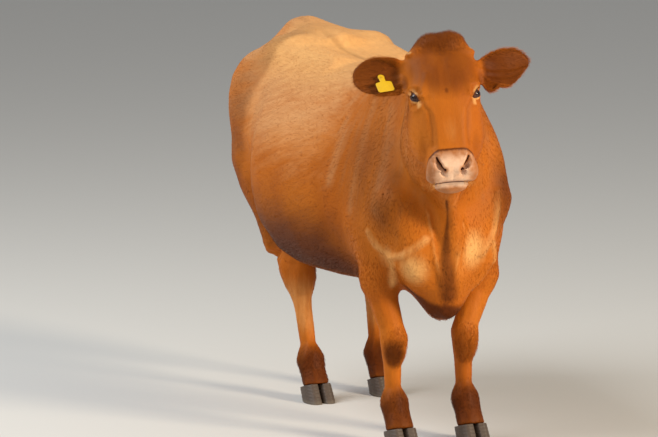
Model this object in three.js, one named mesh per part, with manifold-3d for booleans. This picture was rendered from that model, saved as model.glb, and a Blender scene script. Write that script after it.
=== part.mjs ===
// A life-size standing beef cow, polled and short coated, with its head turned to its right.
// Millimetres, +Z up, the cow faces -Y and its left side is +X. The floor is z = 0.
//
// The body is described as fields: functions of a point that are negative inside the flesh and
// positive outside it, about as large as the distance to the surface. Muscles and bones are balls
// and tapered limbs that melt into each other. Marching cubes turns a field into a closed mesh
// region by region, and manifold-3d thins the meshes and parts them with narrow gaps.

import * as THREE from "three";
import { MarchingCubes } from "three/addons/objects/MarchingCubes.js";
import { mergeVertices } from "three/addons/utils/BufferGeometryUtils.js";
import Module from "manifold-3d";

const wasm = await Module();
wasm.setup();

// ---------------------------------------------------------------- driving sizes

const GAP = 0.35; // clearance between neighbouring pieces

const WITHERS = 1346; // height of the back over the shoulders
const BACK = 1306; // lowest point of the topline
const SACRUM = 1377; // highest point of the rump
const BELLY_FLOOR = 528; // lowest point of the barrel
const BARREL_HALF_WIDTH = 392;
const RUMP_SHIFT = 40; // the hindquarters stand this far to the cow's left

const MID_EYES = [-235, -994, 1323]; // the point between the eyeballs
const HEAD_TURN = 19; // degrees to the cow's right
const FACE_SLOPE = 63; // degrees that the face drops below level
const HEAD_ROLL = 3.3; // degrees, the poll leaning to the cow's right
const EYE = [97, 0, -29]; // centre of the right eyeball in the head's frame
const EYE_RADIUS = 21;

// Where each foot stands, and how its joints are placed above it.
const FORELEGS = {
  right: { elbow: [-203, -330, 720], knee: [-150, -390, 352], fetlock: [-148, -394, 150] },
  left: { elbow: [222, -335, 720], knee: [125, -396, 350], fetlock: [120, -414, 150] },
};
const HINDLEGS = {
  right: {
    hip: [-110, 720, 1080], stifle: [-165, 480, 790], hock: [-66, 616, 462],
    heel: [-66, 690, 540], fetlock: [-68, 522, 150],
  },
  left: {
    hip: [190, 720, 1080], stifle: [245, 470, 790], hock: [222, 588, 468],
    heel: [222, 660, 546], fetlock: [222, 560, 150],
  },
};

const CLAW = { length: 116, width: 55, toeHeight: 72, heelHeight: 44, cleft: 4, lean: 34 };
const TOE_AHEAD = 76; // the middle of the hoof stands this far in front of the fetlock

// ---------------------------------------------------------------- fields

const clamp = (t, low, high) => Math.min(high, Math.max(low, t));
const mix = (a, b, t) => a + (b - a) * t;
const size = (u, v, w) => Math.sqrt(u * u + v * v + w * w);

// Two fields joined with a fillet about k wide, and one field hollowed by another.
function meld(a, b, k) {
  const near = Math.max(k - Math.abs(a - b), 0);
  return Math.min(a, b) - (near * near) / (4 * k);
}
const hollow = (a, b, k) => -meld(-a, b, k);

// An ellipsoid: centre and half sizes.
function ball([cx, cy, cz], [rx, ry, rz]) {
  return (x, y, z) => {
    const u = (x - cx) / rx, v = (y - cy) / ry, w = (z - cz) / rz;
    const reach = size(u, v, w);
    return (reach * (reach - 1)) / (size(u / rx, v / ry, w / rz) + 1e-9);
  };
}

// A straight tapered limb from a to b. wide stretches its section along X, deep along Y.
function limb([ax, ay, az], [bx, by, bz], ra, rb, wide = 1, deep = 1) {
  const dx = bx - ax, dy = by - ay, dz = bz - az;
  const length2 = dx * dx + dy * dy + dz * dz;
  const least = Math.min(wide, deep, 1);
  return (x, y, z) => {
    const t = clamp(((x - ax) * dx + (y - ay) * dy + (z - az) * dz) / length2, 0, 1);
    const off = size((x - ax - t * dx) / wide, (y - ay - t * dy) / deep, z - az - t * dz);
    return (off - mix(ra, rb, t)) * least;
  };
}

// Fields melted into one with a fillet k, and a field joined with its mirror image about x = middle.
const flesh = (k, ...fields) => (x, y, z) => {
  let d = 1e4;
  for (const field of fields) d = meld(d, field(x, y, z), k);
  return d;
};
const both = (field, middle = 0) => (x, y, z) => field(middle + Math.abs(x - middle), y, z);

// A field that is only worked out near its box; further off the distance to the box stands in.
function within([x0, y0, z0], [x1, y1, z1], field, margin = 130) {
  return (x, y, z) => {
    const off = [Math.max(x0 - x, x - x1, 0), Math.max(y0 - y, y - y1, 0), Math.max(z0 - z, z - z1, 0)];
    const far = size(off[0], off[1], off[2]);
    return far > margin ? far : field(x, y, z);
  };
}

// The values at one place on smooth curves through rows [place, ...values].
function curveAt(rows, place) {
  let n = rows.findIndex((row) => row[0] > place);
  if (n < 1) n = n < 0 ? rows.length - 1 : 1;
  const p = rows[n - 1], q = rows[n];
  const before = rows[Math.max(n - 2, 0)], after = rows[Math.min(n + 1, rows.length - 1)];
  const span = q[0] - p[0], t = (place - p[0]) / span;
  return p.slice(1).map((_, j) => {
    const k = j + 1;
    const leave = ((q[k] - before[k]) / (q[0] - before[0])) * span;
    const arrive = ((after[k] - p[k]) / (after[0] - p[0])) * span;
    return (2 * t ** 3 - 3 * t ** 2 + 1) * p[k] + (t ** 3 - 2 * t ** 2 + t) * leave
      + (3 * t ** 2 - 2 * t ** 3) * q[k] + (t ** 3 - t ** 2) * arrive;
  });
}

// A body with super-elliptic sections. Each row: place along the body, top, widest level, bottom,
// half width and squareness (2 is an ellipse); smooth curves run from row to row.
function loft(rows) {
  const [first, last] = [rows[0][0], rows.at(-1)[0]];
  const steps = Math.ceil((last - first) / 5);
  const table = Array.from({ length: steps + 1 }, (_, i) => curveAt(rows, mix(first, last, i / steps)));
  return (side, along, height) => {
    const s = ((clamp(along, first, last) - first) / (last - first)) * steps;
    const i = Math.min(Math.floor(s), steps - 1);
    const p = table[i], q = table[i + 1], t = s - i;
    const middle = mix(p[1], q[1], t), half = mix(p[3], q[3], t), square = mix(p[4], q[4], t);
    const tall = height > middle ? mix(p[0], q[0], t) - middle : middle - mix(p[2], q[2], t);
    const u = Math.abs(side) / half, v = Math.abs(height - middle) / tall;
    const section = ((u ** square + v ** square) ** (1 / square) - 1) * Math.min(half, tall);
    const past = Math.max(first - along, along - last, 0);
    return past > 0 ? size(Math.max(section, 0), past, 0) : section;
  };
}

// A field worked out in a frame of its own.
function inFrame(matrix, field) {
  const m = matrix.clone().invert().elements;
  return (x, y, z) => field(
    m[0] * x + m[4] * y + m[8] * z + m[12],
    m[1] * x + m[5] * y + m[9] * z + m[13],
    m[2] * x + m[6] * y + m[10] * z + m[14],
  );
}

// ---------------------------------------------------------------- trunk and neck

const BARREL = [
  [-520, 1200, 820, 560, 130, 2.0],
  [-400, WITHERS - 8, 860, 520, 214, 2.0],
  [-230, WITHERS - 10, 860, 535, 285, 2.1],
  [-50, BACK + 18, 850, 530, 345, 2.15],
  [160, BACK, 850, BELLY_FLOOR - 4, BARREL_HALF_WIDTH - 8, 2.15],
  [370, BACK + 14, 860, BELLY_FLOOR - 10, BARREL_HALF_WIDTH, 2.15],
  [560, SACRUM - 28, 940, 590, 326, 2.15],
  [720, SACRUM, 1030, 760, 282, 1.65],
  [870, SACRUM - 20, 1050, 860, 236, 1.6],
];
const barrel = loft(BARREL);
const spineShift = (y) => RUMP_SHIFT * THREE.MathUtils.smoothstep(y, 0, 700);

const frontQuarters = within([-300, -700, 430], [300, -150, 1360], flesh(
  60,
  both(limb([108, -352, 1232], [192, -435, 880], 70, 80, 0.84, 1.25)), // shoulder blade
  both(limb([176, -462, 850], [190, -362, 740], 72, 78)), // upper arm
  both(ball([165, -330, 850], [82, 150, 180])), // triceps
  both(ball([95, -490, 740], [105, 90, 180])), // breast muscle
  ball([0, -470, 620], [90, 105, 165]), // brisket
  limb([0, -560, 780], [0, -475, 530], 42, 58, 0.8, 1), // keel of the brisket
));

const hindQuarters = within([-300, 200, 650], [340, 1060, 1420], flesh(
  70,
  both(ball([RUMP_SHIFT + 156, 605, 1294], [80, 115, 60]), RUMP_SHIFT), // hook bone
  both(limb([RUMP_SHIFT + 154, 520, 1286], [RUMP_SHIFT + 144, 210, 1258], 56, 50), RUMP_SHIFT), // loin
  limb([RUMP_SHIFT, 480, 1310], [RUMP_SHIFT, 840, SACRUM - 38], 54, 40, 1.3, 1), // sacrum
  limb([RUMP_SHIFT, 800, SACRUM - 50], [RUMP_SHIFT, 935, SACRUM - 105], 46, 42), // tail head
  both(ball([RUMP_SHIFT + 100, 915, 1208], [66, 60, 74]), RUMP_SHIFT), // pin bone
  both(ball([RUMP_SHIFT + 170, 750, 1105], [145, 205, 190]), RUMP_SHIFT), // rump muscle
  both(ball([RUMP_SHIFT + 155, 775, 925], [138, 190, 250]), RUMP_SHIFT), // thigh
  limb([RUMP_SHIFT, 800, 1230], [RUMP_SHIFT, 770, 850], 92, 80), // between the thighs
));

const throatAndNeck = within([-280, -930, 560], [130, -300, 1460], flesh(
  70,
  limb([0, -350, 1190], [-85, -610, 1285], 140, 108, 0.72, 1), // crest
  limb([-85, -610, 1285], [-168, -805, 1358], 112, 98, 0.85, 1),
  limb([12, -420, 970], [-86, -630, 1100], 172, 142, 0.8, 1), // body of the neck
  limb([-86, -630, 1100], [-155, -800, 1256], 138, 100, 0.82, 1),
  limb([-10, -560, 760], [-110, -740, 1020], 45, 40, 0.5, 1), // dewlap
));

// ---------------------------------------------------------------- legs

const by = ([x, y, z], dx, dy, dz) => [x + dx, y + dy, z + dz];
const pastern = (fetlock) =>
  limb(by(fetlock, 0, -2, -8), by(fetlock, 0, CLAW.lean - TOE_AHEAD - 3, -84), 37, 42, 1.22, 1.04);

function foreleg({ elbow, knee, fetlock }) {
  const out = Math.sign(elbow[0]);
  const low = [Math.min(elbow[0], fetlock[0]) - 90, -530, 30];
  return within(low, [Math.max(elbow[0], fetlock[0]) + 90, -280, 800], flesh(
    34,
    limb(by(elbow, 0, 15, 40), by(elbow, -12 * out, -15, -140), 76, 60, 0.92, 1.1), // forearm
    limb(by(elbow, -12 * out, -15, -140), by(knee, 0, 4, 45), 58, 45, 0.98, 0.92),
    ball(by(knee, 0, -4, 4), [46, 43, 58]), // knee
    limb(by(knee, 0, 8, -40), by(fetlock, 0, 6, 38), 34, 27, 0.9, 1), // cannon
    limb(by(knee, 0, 24, -60), by(fetlock, 0, 26, 30), 17, 16), // tendons behind it
    ball(by(fetlock, 0, 4, 0), [40, 40, 40]),
    pastern(fetlock),
  ));
}

function hindleg({ hip, stifle, hock, heel, fetlock }) {
  const out = Math.sign(hip[0]);
  const shin = [0, 1, 2].map((i) => mix(stifle[i], hock[i], 0.45));
  const low = [Math.min(stifle[0], fetlock[0]) - 90, 300, 30];
  return within(low, [Math.max(stifle[0], fetlock[0]) + 90, 990, 1200], flesh(
    38,
    limb(hip, by(stifle, -20 * out, 40, 20), 150, 105, 0.72, 1.1), // thigh
    ball(by(stifle, -8 * out, 5, 0), [70, 78, 92]),
    limb(by(stifle, -8 * out, 50, -20), by(shin, 0, 30, 0), 96, 74, 0.74, 1.1), // gaskin
    limb(by(shin, 0, 30, 0), by(hock, 0, 20, 50), 72, 42, 0.74, 1.1),
    limb(by(hip, 44 * out, 98, -210), by(heel, 62 * out, 26, 52), 98, 60, 0.8, 0.95), // hamstring
    limb(by(heel, 26 * out, 8, 44), by(heel, 0, 0, -8), 36, 23), // tendon of the heel
    limb(heel, by(hock, 0, 16, -40), 25, 32, 0.85, 1), // point of the hock
    ball(by(hock, 0, -2, -2), [42, 44, 58]), // hock
    limb(by(hock, 0, 6, -40), by(fetlock, 0, 8, 40), 35, 27, 0.88, 1.05), // cannon
    limb(by(hock, 0, 26, -60), by(fetlock, 0, 28, 34), 17, 16),
    ball(by(fetlock, 0, 4, 0), [40, 41, 42]),
    pastern(fetlock),
  ));
}

// ---------------------------------------------------------------- head

// The head has its own frame: side (the cow's right), down (poll to muzzle) and out (from the
// back of the skull to the forehead), with its origin between the eyes.
const headFrame = (() => {
  const turn = THREE.MathUtils.degToRad(HEAD_TURN);
  const slope = THREE.MathUtils.degToRad(FACE_SLOPE);
  const ahead = new THREE.Vector3(-Math.sin(turn), -Math.cos(turn), 0);
  const down = new THREE.Vector3(0, 0, -Math.sin(slope)).addScaledVector(ahead, Math.cos(slope));
  const side = new THREE.Vector3(-Math.cos(turn), Math.sin(turn), 0);
  const out = new THREE.Vector3().crossVectors(side, down);
  const roll = new THREE.Matrix4().makeRotationAxis(out, THREE.MathUtils.degToRad(HEAD_ROLL));
  return new THREE.Matrix4().makeTranslation(...MID_EYES)
    .multiply(roll)
    .multiply(new THREE.Matrix4().makeBasis(side, down, out));
})();

const SKULL = [
  [-190, -38, -85, -150, 88, 2.3],
  [-140, -8, -75, -190, 116, 2.5],
  [-80, 14, -62, -215, 122, 2.5],
  [0, 22, -52, -232, 112, 2.6],
  [70, 18, -72, -230, 98, 2.8],
  [150, 8, -70, -190, 80, 3],
  [230, -6, -68, -150, 73, 3],
  [268, -20, -70, -142, 70, 2.8],
];
const MUZZLE = [
  [205, -6, -66, -120, 66, 2.4],
  [230, -8, -62, -122, 79, 2.6],
  [250, -16, -66, -120, 87, 2.8],
  [268, -28, -76, -116, 89, 2.8],
  [282, -44, -82, -112, 83, 2.6],
  [292, -66, -88, -106, 66, 2.4],
];

const skull = flesh(
  26,
  loft(SKULL),
  ball([-12, -194, -60], [90, 46, 54]), // poll
  both(ball([84, -166, -62], [30, 30, 34])), // base of the missing horn
  both(ball([90, -4, -36], [35, 52, 42])), // rim of the eye socket
  both(ball([78, 84, -116], [53, 130, 90])), // cheek muscle
  both(limb([72, 40, -185], [34, 250, -128], 46, 30)), // lower jaw
);
const muzzle = flesh(18, loft(MUZZLE), ball([0, 282, -130], [61, 33, 32])); // with the lower lip
const nostrils = both(limb([30, 272, -44], [56, 238, -12], 9, 11));
const mouth = both(limb([0, 294, -98], [74, 274, -120], 4, 3));

// The opening of the lids, turned to face ahead and outward with its inner corner low.
const lids = (() => {
  const ahead = new THREE.Vector3(0.74, 0, 0.673), along = new THREE.Vector3(-0.23, 0.94, 0.253).normalize();
  const turned = new THREE.Matrix4().makeBasis(along, new THREE.Vector3().crossVectors(ahead, along), ahead);
  const place = new THREE.Matrix4().makeTranslation(EYE[0] + 17, EYE[1] + 1, EYE[2] + 15).multiply(turned);
  return both(inFrame(place, ball([0, 0, 0], [19, 11, 9])));
})();

// An ear: a cupped leaf that grows from the side of the head.
const EAR = { root: [92, -86, -72], length: 208, back: 20, halfWidth: 73, thickness: 9, cup: 34 };
const EAR_SET = { right: { rise: 20, beyond: 0 }, left: { rise: 26, beyond: 26 } }; // tip above root, reach
const EAR_CUT = { side: 132, down: -8 }; // an ear's own piece lies beyond and above these
const earStem = limb([88, -92, -76], [150, -97, -88], 37, 27);
const earBowl = ball([170, -99, -50], [46, 38, 26]);

function ear(side, down, out, rise) {
  const s = (side - EAR.root[0]) / EAR.length; // 0 at the root, 1 at the tip
  const across = down - EAR.root[1] + rise * s;
  const outline = EAR.halfWidth * Math.sqrt(Math.max(1 - Math.abs((s - 0.5) / 0.52) ** 2.4, 0));
  const t = across / EAR.halfWidth;
  const middle = EAR.root[2] - EAR.back * s + EAR.cup * t * t * (1.15 - 0.5 * s);
  const leaf = Math.max(Math.abs(across) - outline, (Math.abs(s - 0.5) - 0.52) * EAR.length);
  const blade = hollow(leaf * 0.8, EAR.thickness / 2 - Math.abs(out - middle) * 0.8, 8);
  return hollow(meld(blade, earStem(side, down, out), 22), earBowl(side, down, out), 12);
}

const face = flesh(24, skull, muzzle);
const headField = inFrame(headFrame, within([-300, -240, -250], [300, 350, 60], (side, down, out) => {
  const open = Math.min(nostrils(side, down, out), mouth(side, down, out), lids(side, down, out));
  const carved = hollow(face(side, down, out), open, 8);
  const { rise, beyond } = side > 0 ? EAR_SET.right : EAR_SET.left;
  return meld(carved, ear(Math.abs(side) - beyond, down, out, rise), 14);
}));

// ---------------------------------------------------------------- meshing

const wholeCow = flesh(
  46,
  flesh(60, (x, y, z) => barrel(x - spineShift(y), y, z), frontQuarters, hindQuarters),
  flesh(34, foreleg(FORELEGS.right), foreleg(FORELEGS.left), hindleg(HINDLEGS.right), hindleg(HINDLEGS.left)),
  throatAndNeck,
  headField,
);

// A solid as a geometry with shared vertices.
function geometryOf(solid) {
  const { vertProperties, triVerts } = solid.getMesh();
  const geometry = new THREE.BufferGeometry()
    .setAttribute("position", new THREE.BufferAttribute(vertProperties, 3))
    .setIndex(new THREE.BufferAttribute(triVerts, 1));
  geometry.computeVertexNormals();
  return geometry;
}

// A closed geometry as a solid.
function solidFrom(geometry) {
  geometry.deleteAttribute("normal");
  geometry.deleteAttribute("uv");
  const merged = mergeVertices(geometry, 1e-4);
  const mesh = new wasm.Mesh({
    numProp: 3,
    vertProperties: merged.attributes.position.array,
    triVerts: new Uint32Array(merged.index.array),
    tolerance: 2e-3,
  });
  mesh.merge();
  return new wasm.Manifold(mesh);
}

// A solid with each vertex moved outwards.
function padded(solid, grow) {
  const geometry = geometryOf(solid);
  const { position, normal } = geometry.attributes;
  for (let i = 0; i < position.count * 3; i++) position.array[i] += grow * normal.array[i];
  return solidFrom(geometry);
}

// A solid with its edges shrunk to points, flattest surroundings first, until at most so many
// triangles are left. Each point carries the sum of squared distances to the planes around it.
function thin(solid, most) {
  const mesh = solid.getMesh();
  const p = Float64Array.from(mesh.vertProperties), tris = Array.from(mesh.triVerts);
  const count = p.length / 3, fans = Array.from({ length: count }, () => new Set());
  const errors = new Float64Array(count * 10), stamps = new Int32Array(count);
  const at = (v) => new THREE.Vector3(p[3 * v], p[3 * v + 1], p[3 * v + 2]);
  const corners = (t) => [tris[3 * t], tris[3 * t + 1], tris[3 * t + 2]];
  for (let t = 0; t < tris.length / 3; t++) {
    const [a, b, c] = corners(t).map(at);
    const n = b.clone().sub(a).cross(c.clone().sub(a)), area = n.length();
    n.normalize();
    const q = [n.x, n.y, n.z, -n.dot(a)];
    for (const v of corners(t)) {
      fans[v].add(t);
      for (let i = 0, k = 0; i < 4; i++)
        for (let j = i; j < 4; j++, k++) errors[10 * v + k] += q[i] * q[j] * area;
    }
  }
  const cost = (e, { x, y, z }) => e[0] * x * x + e[4] * y * y + e[7] * z * z + e[9]
    + 2 * (e[1] * x * y + e[2] * x * z + e[5] * y * z + e[3] * x + e[6] * y + e[8] * z);
  const ring = (v) => new Set([...fans[v]].flatMap(corners).filter((u) => u !== v));
  const heap = [];
  const swap = (i, j) => ([heap[i], heap[j]] = [heap[j], heap[i]]);
  const push = (item) => {
    let i = heap.push(item) - 1;
    for (let up; i > 0 && heap[(up = (i - 1) >> 1)].cost > heap[i].cost; i = up) swap(i, up);
  };
  const pop = () => {
    swap(0, heap.length - 1);
    const item = heap.pop();
    for (let i = 0, down; (down = 2 * i + 1) < heap.length; i = down) {
      if (down + 1 < heap.length && heap[down + 1].cost < heap[down].cost) down++;
      if (heap[i].cost <= heap[down].cost) break;
      swap(i, down);
    }
    return item;
  };
  const offer = (a, b) => {
    const e = Array.from({ length: 10 }, (_, k) => errors[10 * a + k] + errors[10 * b + k]);
    const m = new THREE.Matrix3().set(e[0], e[1], e[2], e[1], e[4], e[5], e[2], e[5], e[7]);
    const places = [at(a), at(b), at(a).lerp(at(b), 0.5)];
    const solved = new THREE.Vector3(-e[3], -e[6], -e[8]);
    if (Math.abs(m.determinant()) > 1e-7 * (e[0] + e[4] + e[7]) ** 3) {
      solved.applyMatrix3(m.invert());
      if (solved.distanceTo(places[2]) < 1.5 * places[0].distanceTo(places[1])) places.push(solved);
    }
    const best = places.reduce((s, t) => (cost(e, t) < cost(e, s) ? t : s));
    const span = 0.02 * places[0].distanceToSquared(places[1]);
    push({ place: best, cost: cost(e, best) + span, a, b, stamp: stamps[a] + stamps[b] });
  };
  for (let v = 0; v < count; v++) for (const u of ring(v)) if (u > v) offer(v, u);
  const normal = ([u, v, w]) => v.clone().sub(u).cross(w.clone().sub(u)).normalize();
  let left = tris.length / 3;
  while (left > most && heap.length) {
    const { a, b, place, stamp } = pop();
    if (stamp !== stamps[a] + stamps[b] || !fans[a].size || !fans[b].size) continue;
    const near = ring(a), shared = [...ring(b)].filter((v) => near.has(v));
    const folds = [...fans[a], ...fans[b]].some((t) => {
      const verts = corners(t);
      if (verts.includes(a) && verts.includes(b)) return false;
      const moved = verts.map((v) => (v === a || v === b ? place : at(v)));
      return normal(verts.map(at)).dot(normal(moved)) < 0.3;
    });
    if (shared.length !== 2 || folds) continue;
    p.set(place.toArray(), 3 * a);
    for (let k = 0; k < 10; k++) errors[10 * a + k] += errors[10 * b + k];
    for (const t of fans[b]) {
      if (fans[a].has(t)) {
        for (const v of corners(t)) if (v !== b) fans[v].delete(t);
        left--;
      } else {
        for (let i = 0; i < 3; i++) if (tris[3 * t + i] === b) tris[3 * t + i] = a;
        fans[a].add(t);
      }
    }
    fans[b].clear();
    stamps[a] += 1 + stamps[b];
    for (const u of ring(a)) offer(a, u);
  }
  const kept = new Set(fans.flatMap((fan) => [...fan]));
  return solidFrom(new THREE.BufferGeometry()
    .setAttribute("position", new THREE.Float32BufferAttribute(p, 3))
    .setIndex([...kept].flatMap(corners)));
}

// A field's surface inside the box from low to high as a solid, capped by the box. The box holds
// cells marching cubes each way, and blocks of them far from the surface are filled in one go.
const BLOCK = 5;

function solidOf(field, low, high, cells, frame = new THREE.Matrix4()) {
  const cubes = new MarchingCubes(cells, new THREE.MeshStandardMaterial(), false, false, cells * cells * 12);
  const half = low.map((v, i) => ((high[i] - v) / 2) * (cells / (cells - 6)));
  const place = (i, n) => (low[i] + high[i]) / 2 + ((n - cells / 2) / (cells / 2)) * half[i];
  const reach = 1.5 * size(...half.map((h) => (h / cells) * BLOCK)) + 12;
  const local = inFrame(frame.clone().invert(), field);
  const depth = (x, y, z) => Math.max(
    local(x, y, z), low[0] - x, x - high[0], low[1] - y, y - high[1], low[2] - z, z - high[2],
  );
  cubes.isolation = 0;
  for (let k0 = 0; k0 < cells; k0 += BLOCK)
    for (let j0 = 0; j0 < cells; j0 += BLOCK)
      for (let i0 = 0; i0 < cells; i0 += BLOCK) {
        const mid = (BLOCK - 1) / 2;
        const rough = -depth(place(0, i0 + mid), place(1, j0 + mid), place(2, k0 + mid));
        for (let k = k0; k < Math.min(k0 + BLOCK, cells); k++)
          for (let j = j0; j < Math.min(j0 + BLOCK, cells); j++)
            for (let i = i0; i < Math.min(i0 + BLOCK, cells); i++) {
              const near = Math.abs(rough) < reach;
              const value = near ? -depth(place(0, i), place(1, j), place(2, k)) : rough;
              cubes.field[i + j * cells + k * cells * cells] = Math.abs(value) < 0.02 ? 0.02 : value;
            }
      }
  cubes.update();
  return solidFrom(new THREE.BufferGeometry()
    .setAttribute("position", new THREE.BufferAttribute(cubes.positionArray.slice(0, cubes.count * 3), 3))
    .scale(...half)
    .translate(...low.map((v, i) => (v + high[i]) / 2))
    .applyMatrix4(frame));
}

// A box from low to high, by default in the world's frame.
const block = (low, high, frame = new THREE.Matrix4()) => solidFrom(
  new THREE.BoxGeometry(...high.map((v, i) => v - low[i]))
    .translate(...high.map((v, i) => (v + low[i]) / 2))
    .applyMatrix4(frame),
);

// The plane through a point of a frame, as the normal and offset that trimByPlane takes. What lies
// on the normal's side is kept.
function plane(normal, point, frame = new THREE.Matrix4()) {
  const n = new THREE.Vector3(...normal).normalize().transformDirection(frame);
  return [n.toArray(), n.dot(new THREE.Vector3(...point).applyMatrix4(frame))];
}
// The other side of such a plane, a gap away from it.
const flip = ([normal, offset]) => [normal.map((v) => -v), -offset + GAP];
// The biggest of the parts that a cut leaves.
const largest = (solid) => solid.decompose().sort((a, b) => b.volume() - a.volume())[0];

// ---------------------------------------------------------------- hooves, horn, eyes, tail, udder

// A claw: a D-shaped block of horn with a flat sole and a coronet that rises toward the toe.
function claw(x0, y0, side) {
  const geometry = new THREE.CylinderGeometry(1, 1, 1, 14, 1).rotateX(Math.PI / 2);
  const points = geometry.attributes.position;
  for (let i = 0; i < points.count; i++) {
    const outward = points.getX(i) * side, ahead = -points.getY(i), t = points.getZ(i) + 0.5;
    const across = outward < 0 ? -(Math.abs(outward) ** 0.4) : outward * (1 - 0.1 * t);
    points.setXYZ(
      i,
      x0 + side * (CLAW.cleft / 2 + (CLAW.width / 2) * (1 + across)),
      y0 + CLAW.lean * t - ahead * (CLAW.length / 2) * (1 - 0.16 * t),
      t * mix(CLAW.heelHeight, CLAW.toeHeight, (ahead + 1) / 2),
    );
  }
  return solidFrom(geometry);
}

// The plane of the coronet, a gap above both claws.
function coronet(x0, y0) {
  const rise = (CLAW.toeHeight - CLAW.heelHeight) / (0.84 * CLAW.length);
  const middle = (CLAW.toeHeight + CLAW.heelHeight) / 2;
  return plane([0, rise, 1], [x0, y0 + CLAW.lean, middle + GAP]);
}

const orb = (centre, radii, frame = new THREE.Matrix4(), around = 14) => solidFrom(
  new THREE.SphereGeometry(1, around, Math.round(around * 0.6))
    .scale(...radii).translate(...centre).applyMatrix4(frame),
);
const dewclaw = ([x, y, z], side, grow = 0) =>
  orb([x + side * 21, y + 37, z - 17], [13 + grow, 12 + grow, 18 + grow], undefined, 8);

// The udder with its four teats, the tail and the tassel at its end.
const udder = flesh(
  26,
  ball([76, 690, 612], [92, 122, 104]),
  limb([36, 640, 535], [36, 640, 482], 15, 10),
  limb([116, 640, 535], [116, 640, 482], 15, 10),
  limb([40, 735, 535], [40, 735, 482], 15, 10),
  limb([112, 735, 535], [112, 735, 482], 15, 10),
);
const TAIL = [
  [40, 870, 1320, 38], [42, 950, 1282, 33], [48, 980, 1190, 27],
  [58, 976, 1040, 22], [72, 955, 860, 18], [80, 918, 690, 16],
]; // places along the tail's bone, each with the radius there
const tail = flesh(
  14,
  ...TAIL.slice(1).map(([x, y, z, r], i) => limb(TAIL[i].slice(0, 3), [x, y, z], TAIL[i][3], r)),
);
const tassel = flesh(
  20,
  limb([80, 918, 700], [82, 905, 600], 18, 33),
  limb([82, 905, 600], [84, 896, 470], 33, 12),
);

// The ear tag hangs from a pin through the right ear. Its frame: across, along (down the plate)
// and out of its face.
const TAG = { width: 58, height: 46, neck: 20, boss: 12, thickness: 2, pin: [206, -98, -72] };
const tagFrame = (() => {
  const along = new THREE.Vector3(-8, 39, 15).normalize(), out = new THREE.Vector3(-0.1, -0.38, 1);
  const across = new THREE.Vector3().crossVectors(along, out).normalize();
  out.crossVectors(across, along);
  return headFrame.clone()
    .multiply(new THREE.Matrix4().makeTranslation(...TAG.pin))
    .multiply(new THREE.Matrix4().makeBasis(across, along, out));
})();

function tagPlate(grow = 0) {
  const { width, height, neck, boss, thickness } = TAG;
  const half = width / 2 + grow, top = boss + 8 - grow, bottom = top + height;
  const edge = [
    [neck / 2 + grow, 0], [neck / 2 + grow, top], [half - 4, top + 3], [half, top + 8],
    [half, bottom - 5], [half - 5, bottom + grow],
  ];
  const shape = new THREE.Shape([
    ...edge.map(([x, y]) => new THREE.Vector2(-x, y)),
    ...edge.reverse().map(([x, y]) => new THREE.Vector2(x, y)),
  ]);
  const plate = new THREE.ExtrudeGeometry(shape, { depth: thickness + 2 * grow, bevelEnabled: false })
    .translate(0, 0, -grow).applyMatrix4(tagFrame);
  return solidFrom(plate).add(disc(boss + grow, -grow, thickness + grow));
}

// A round disc about the pin's axis.
const disc = (radius, from, to, sides = 12) => solidFrom(
  new THREE.CylinderGeometry(radius, radius, to - from, sides)
    .rotateX(Math.PI / 2).translate(0, 0, (from + to) / 2).applyMatrix4(tagFrame),
);
const tagPin = (grow = 0) => disc(2.8 + grow, -13, TAG.thickness + 1.4 + grow, 10)
  .add(disc(12 + grow, -16 - grow, -12 + grow));

// ---------------------------------------------------------------- the pieces

const cow = new THREE.Group();

function addNode(name, solid, color, roughness) {
  const material = new THREE.MeshStandardMaterial({ color, roughness, metalness: 0 });
  const mesh = new THREE.Mesh(geometryOf(solid), material);
  mesh.name = name;
  cow.add(mesh);
}

const COAT = 0xa8602c, BARE_SKIN = 0xd9a98a, HORN = 0x4b3a2c, TAG_YELLOW = 0xf0c010;

const shoulderPlane = plane([-0.12, -0.95, 0.29], [0, -430, 1330]);
const napePlane = plane([0, 0.35, 0.94], [0, -190, -158], headFrame);

// Head and ears. Each ear fills a room beside the skull, above the level of the eye.
let head = thin(solidOf(wholeCow, [-170, -260, -300], [170, 350, 60], 110, headFrame), 1640)
  .trimByPlane(...napePlane);
for (const [side, name] of [[1, "right"], [-1, "left"]]) {
  const room = (grow) => {
    const inner = EAR_CUT.side - grow, bottom = EAR_CUT.down + grow;
    return block([side > 0 ? inner : -400, -300, -300], [side > 0 ? 400 : -inner, bottom, 100], headFrame);
  };
  const low = [side > 0 ? 100 : -340, -200, -150], high = [side > 0 ? 340 : -100, 0, 20];
  let ear = largest(thin(solidOf(wholeCow, low, high, 70, headFrame), 260).intersect(room(0)));
  if (name === "right") ear = largest(ear.subtract(tagPlate(GAP)).subtract(tagPin(GAP)));
  addNode(`ear_${name}`, ear, COAT, 0.7);
  head = head.subtract(room(GAP));

  const centre = [EYE[0] * side, EYE[1], EYE[2]];
  const eyeball = (r) => orb(centre, [r, r, r], headFrame);
  addNode(`eye_${name}`, eyeball(EYE_RADIUS), 0x1a1210, 0.1);
  head = head.subtract(eyeball(EYE_RADIUS + GAP));
}
addNode("head", largest(head), COAT, 0.6);
addNode("ear_tag", tagPlate().subtract(disc(2.8 + GAP, -5, TAG.thickness + 5, 10)), TAG_YELLOW, 0.4);
addNode("ear_tag_pin", tagPin(), TAG_YELLOW, 0.4);

const neck = thin(solidOf(wholeCow, [-320, -960, 640], [220, -380, 1480], 80), 720);
addNode("neck", largest(neck.trimByPlane(...shoulderPlane).trimByPlane(...flip(napePlane))), COAT, 0.6);

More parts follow.
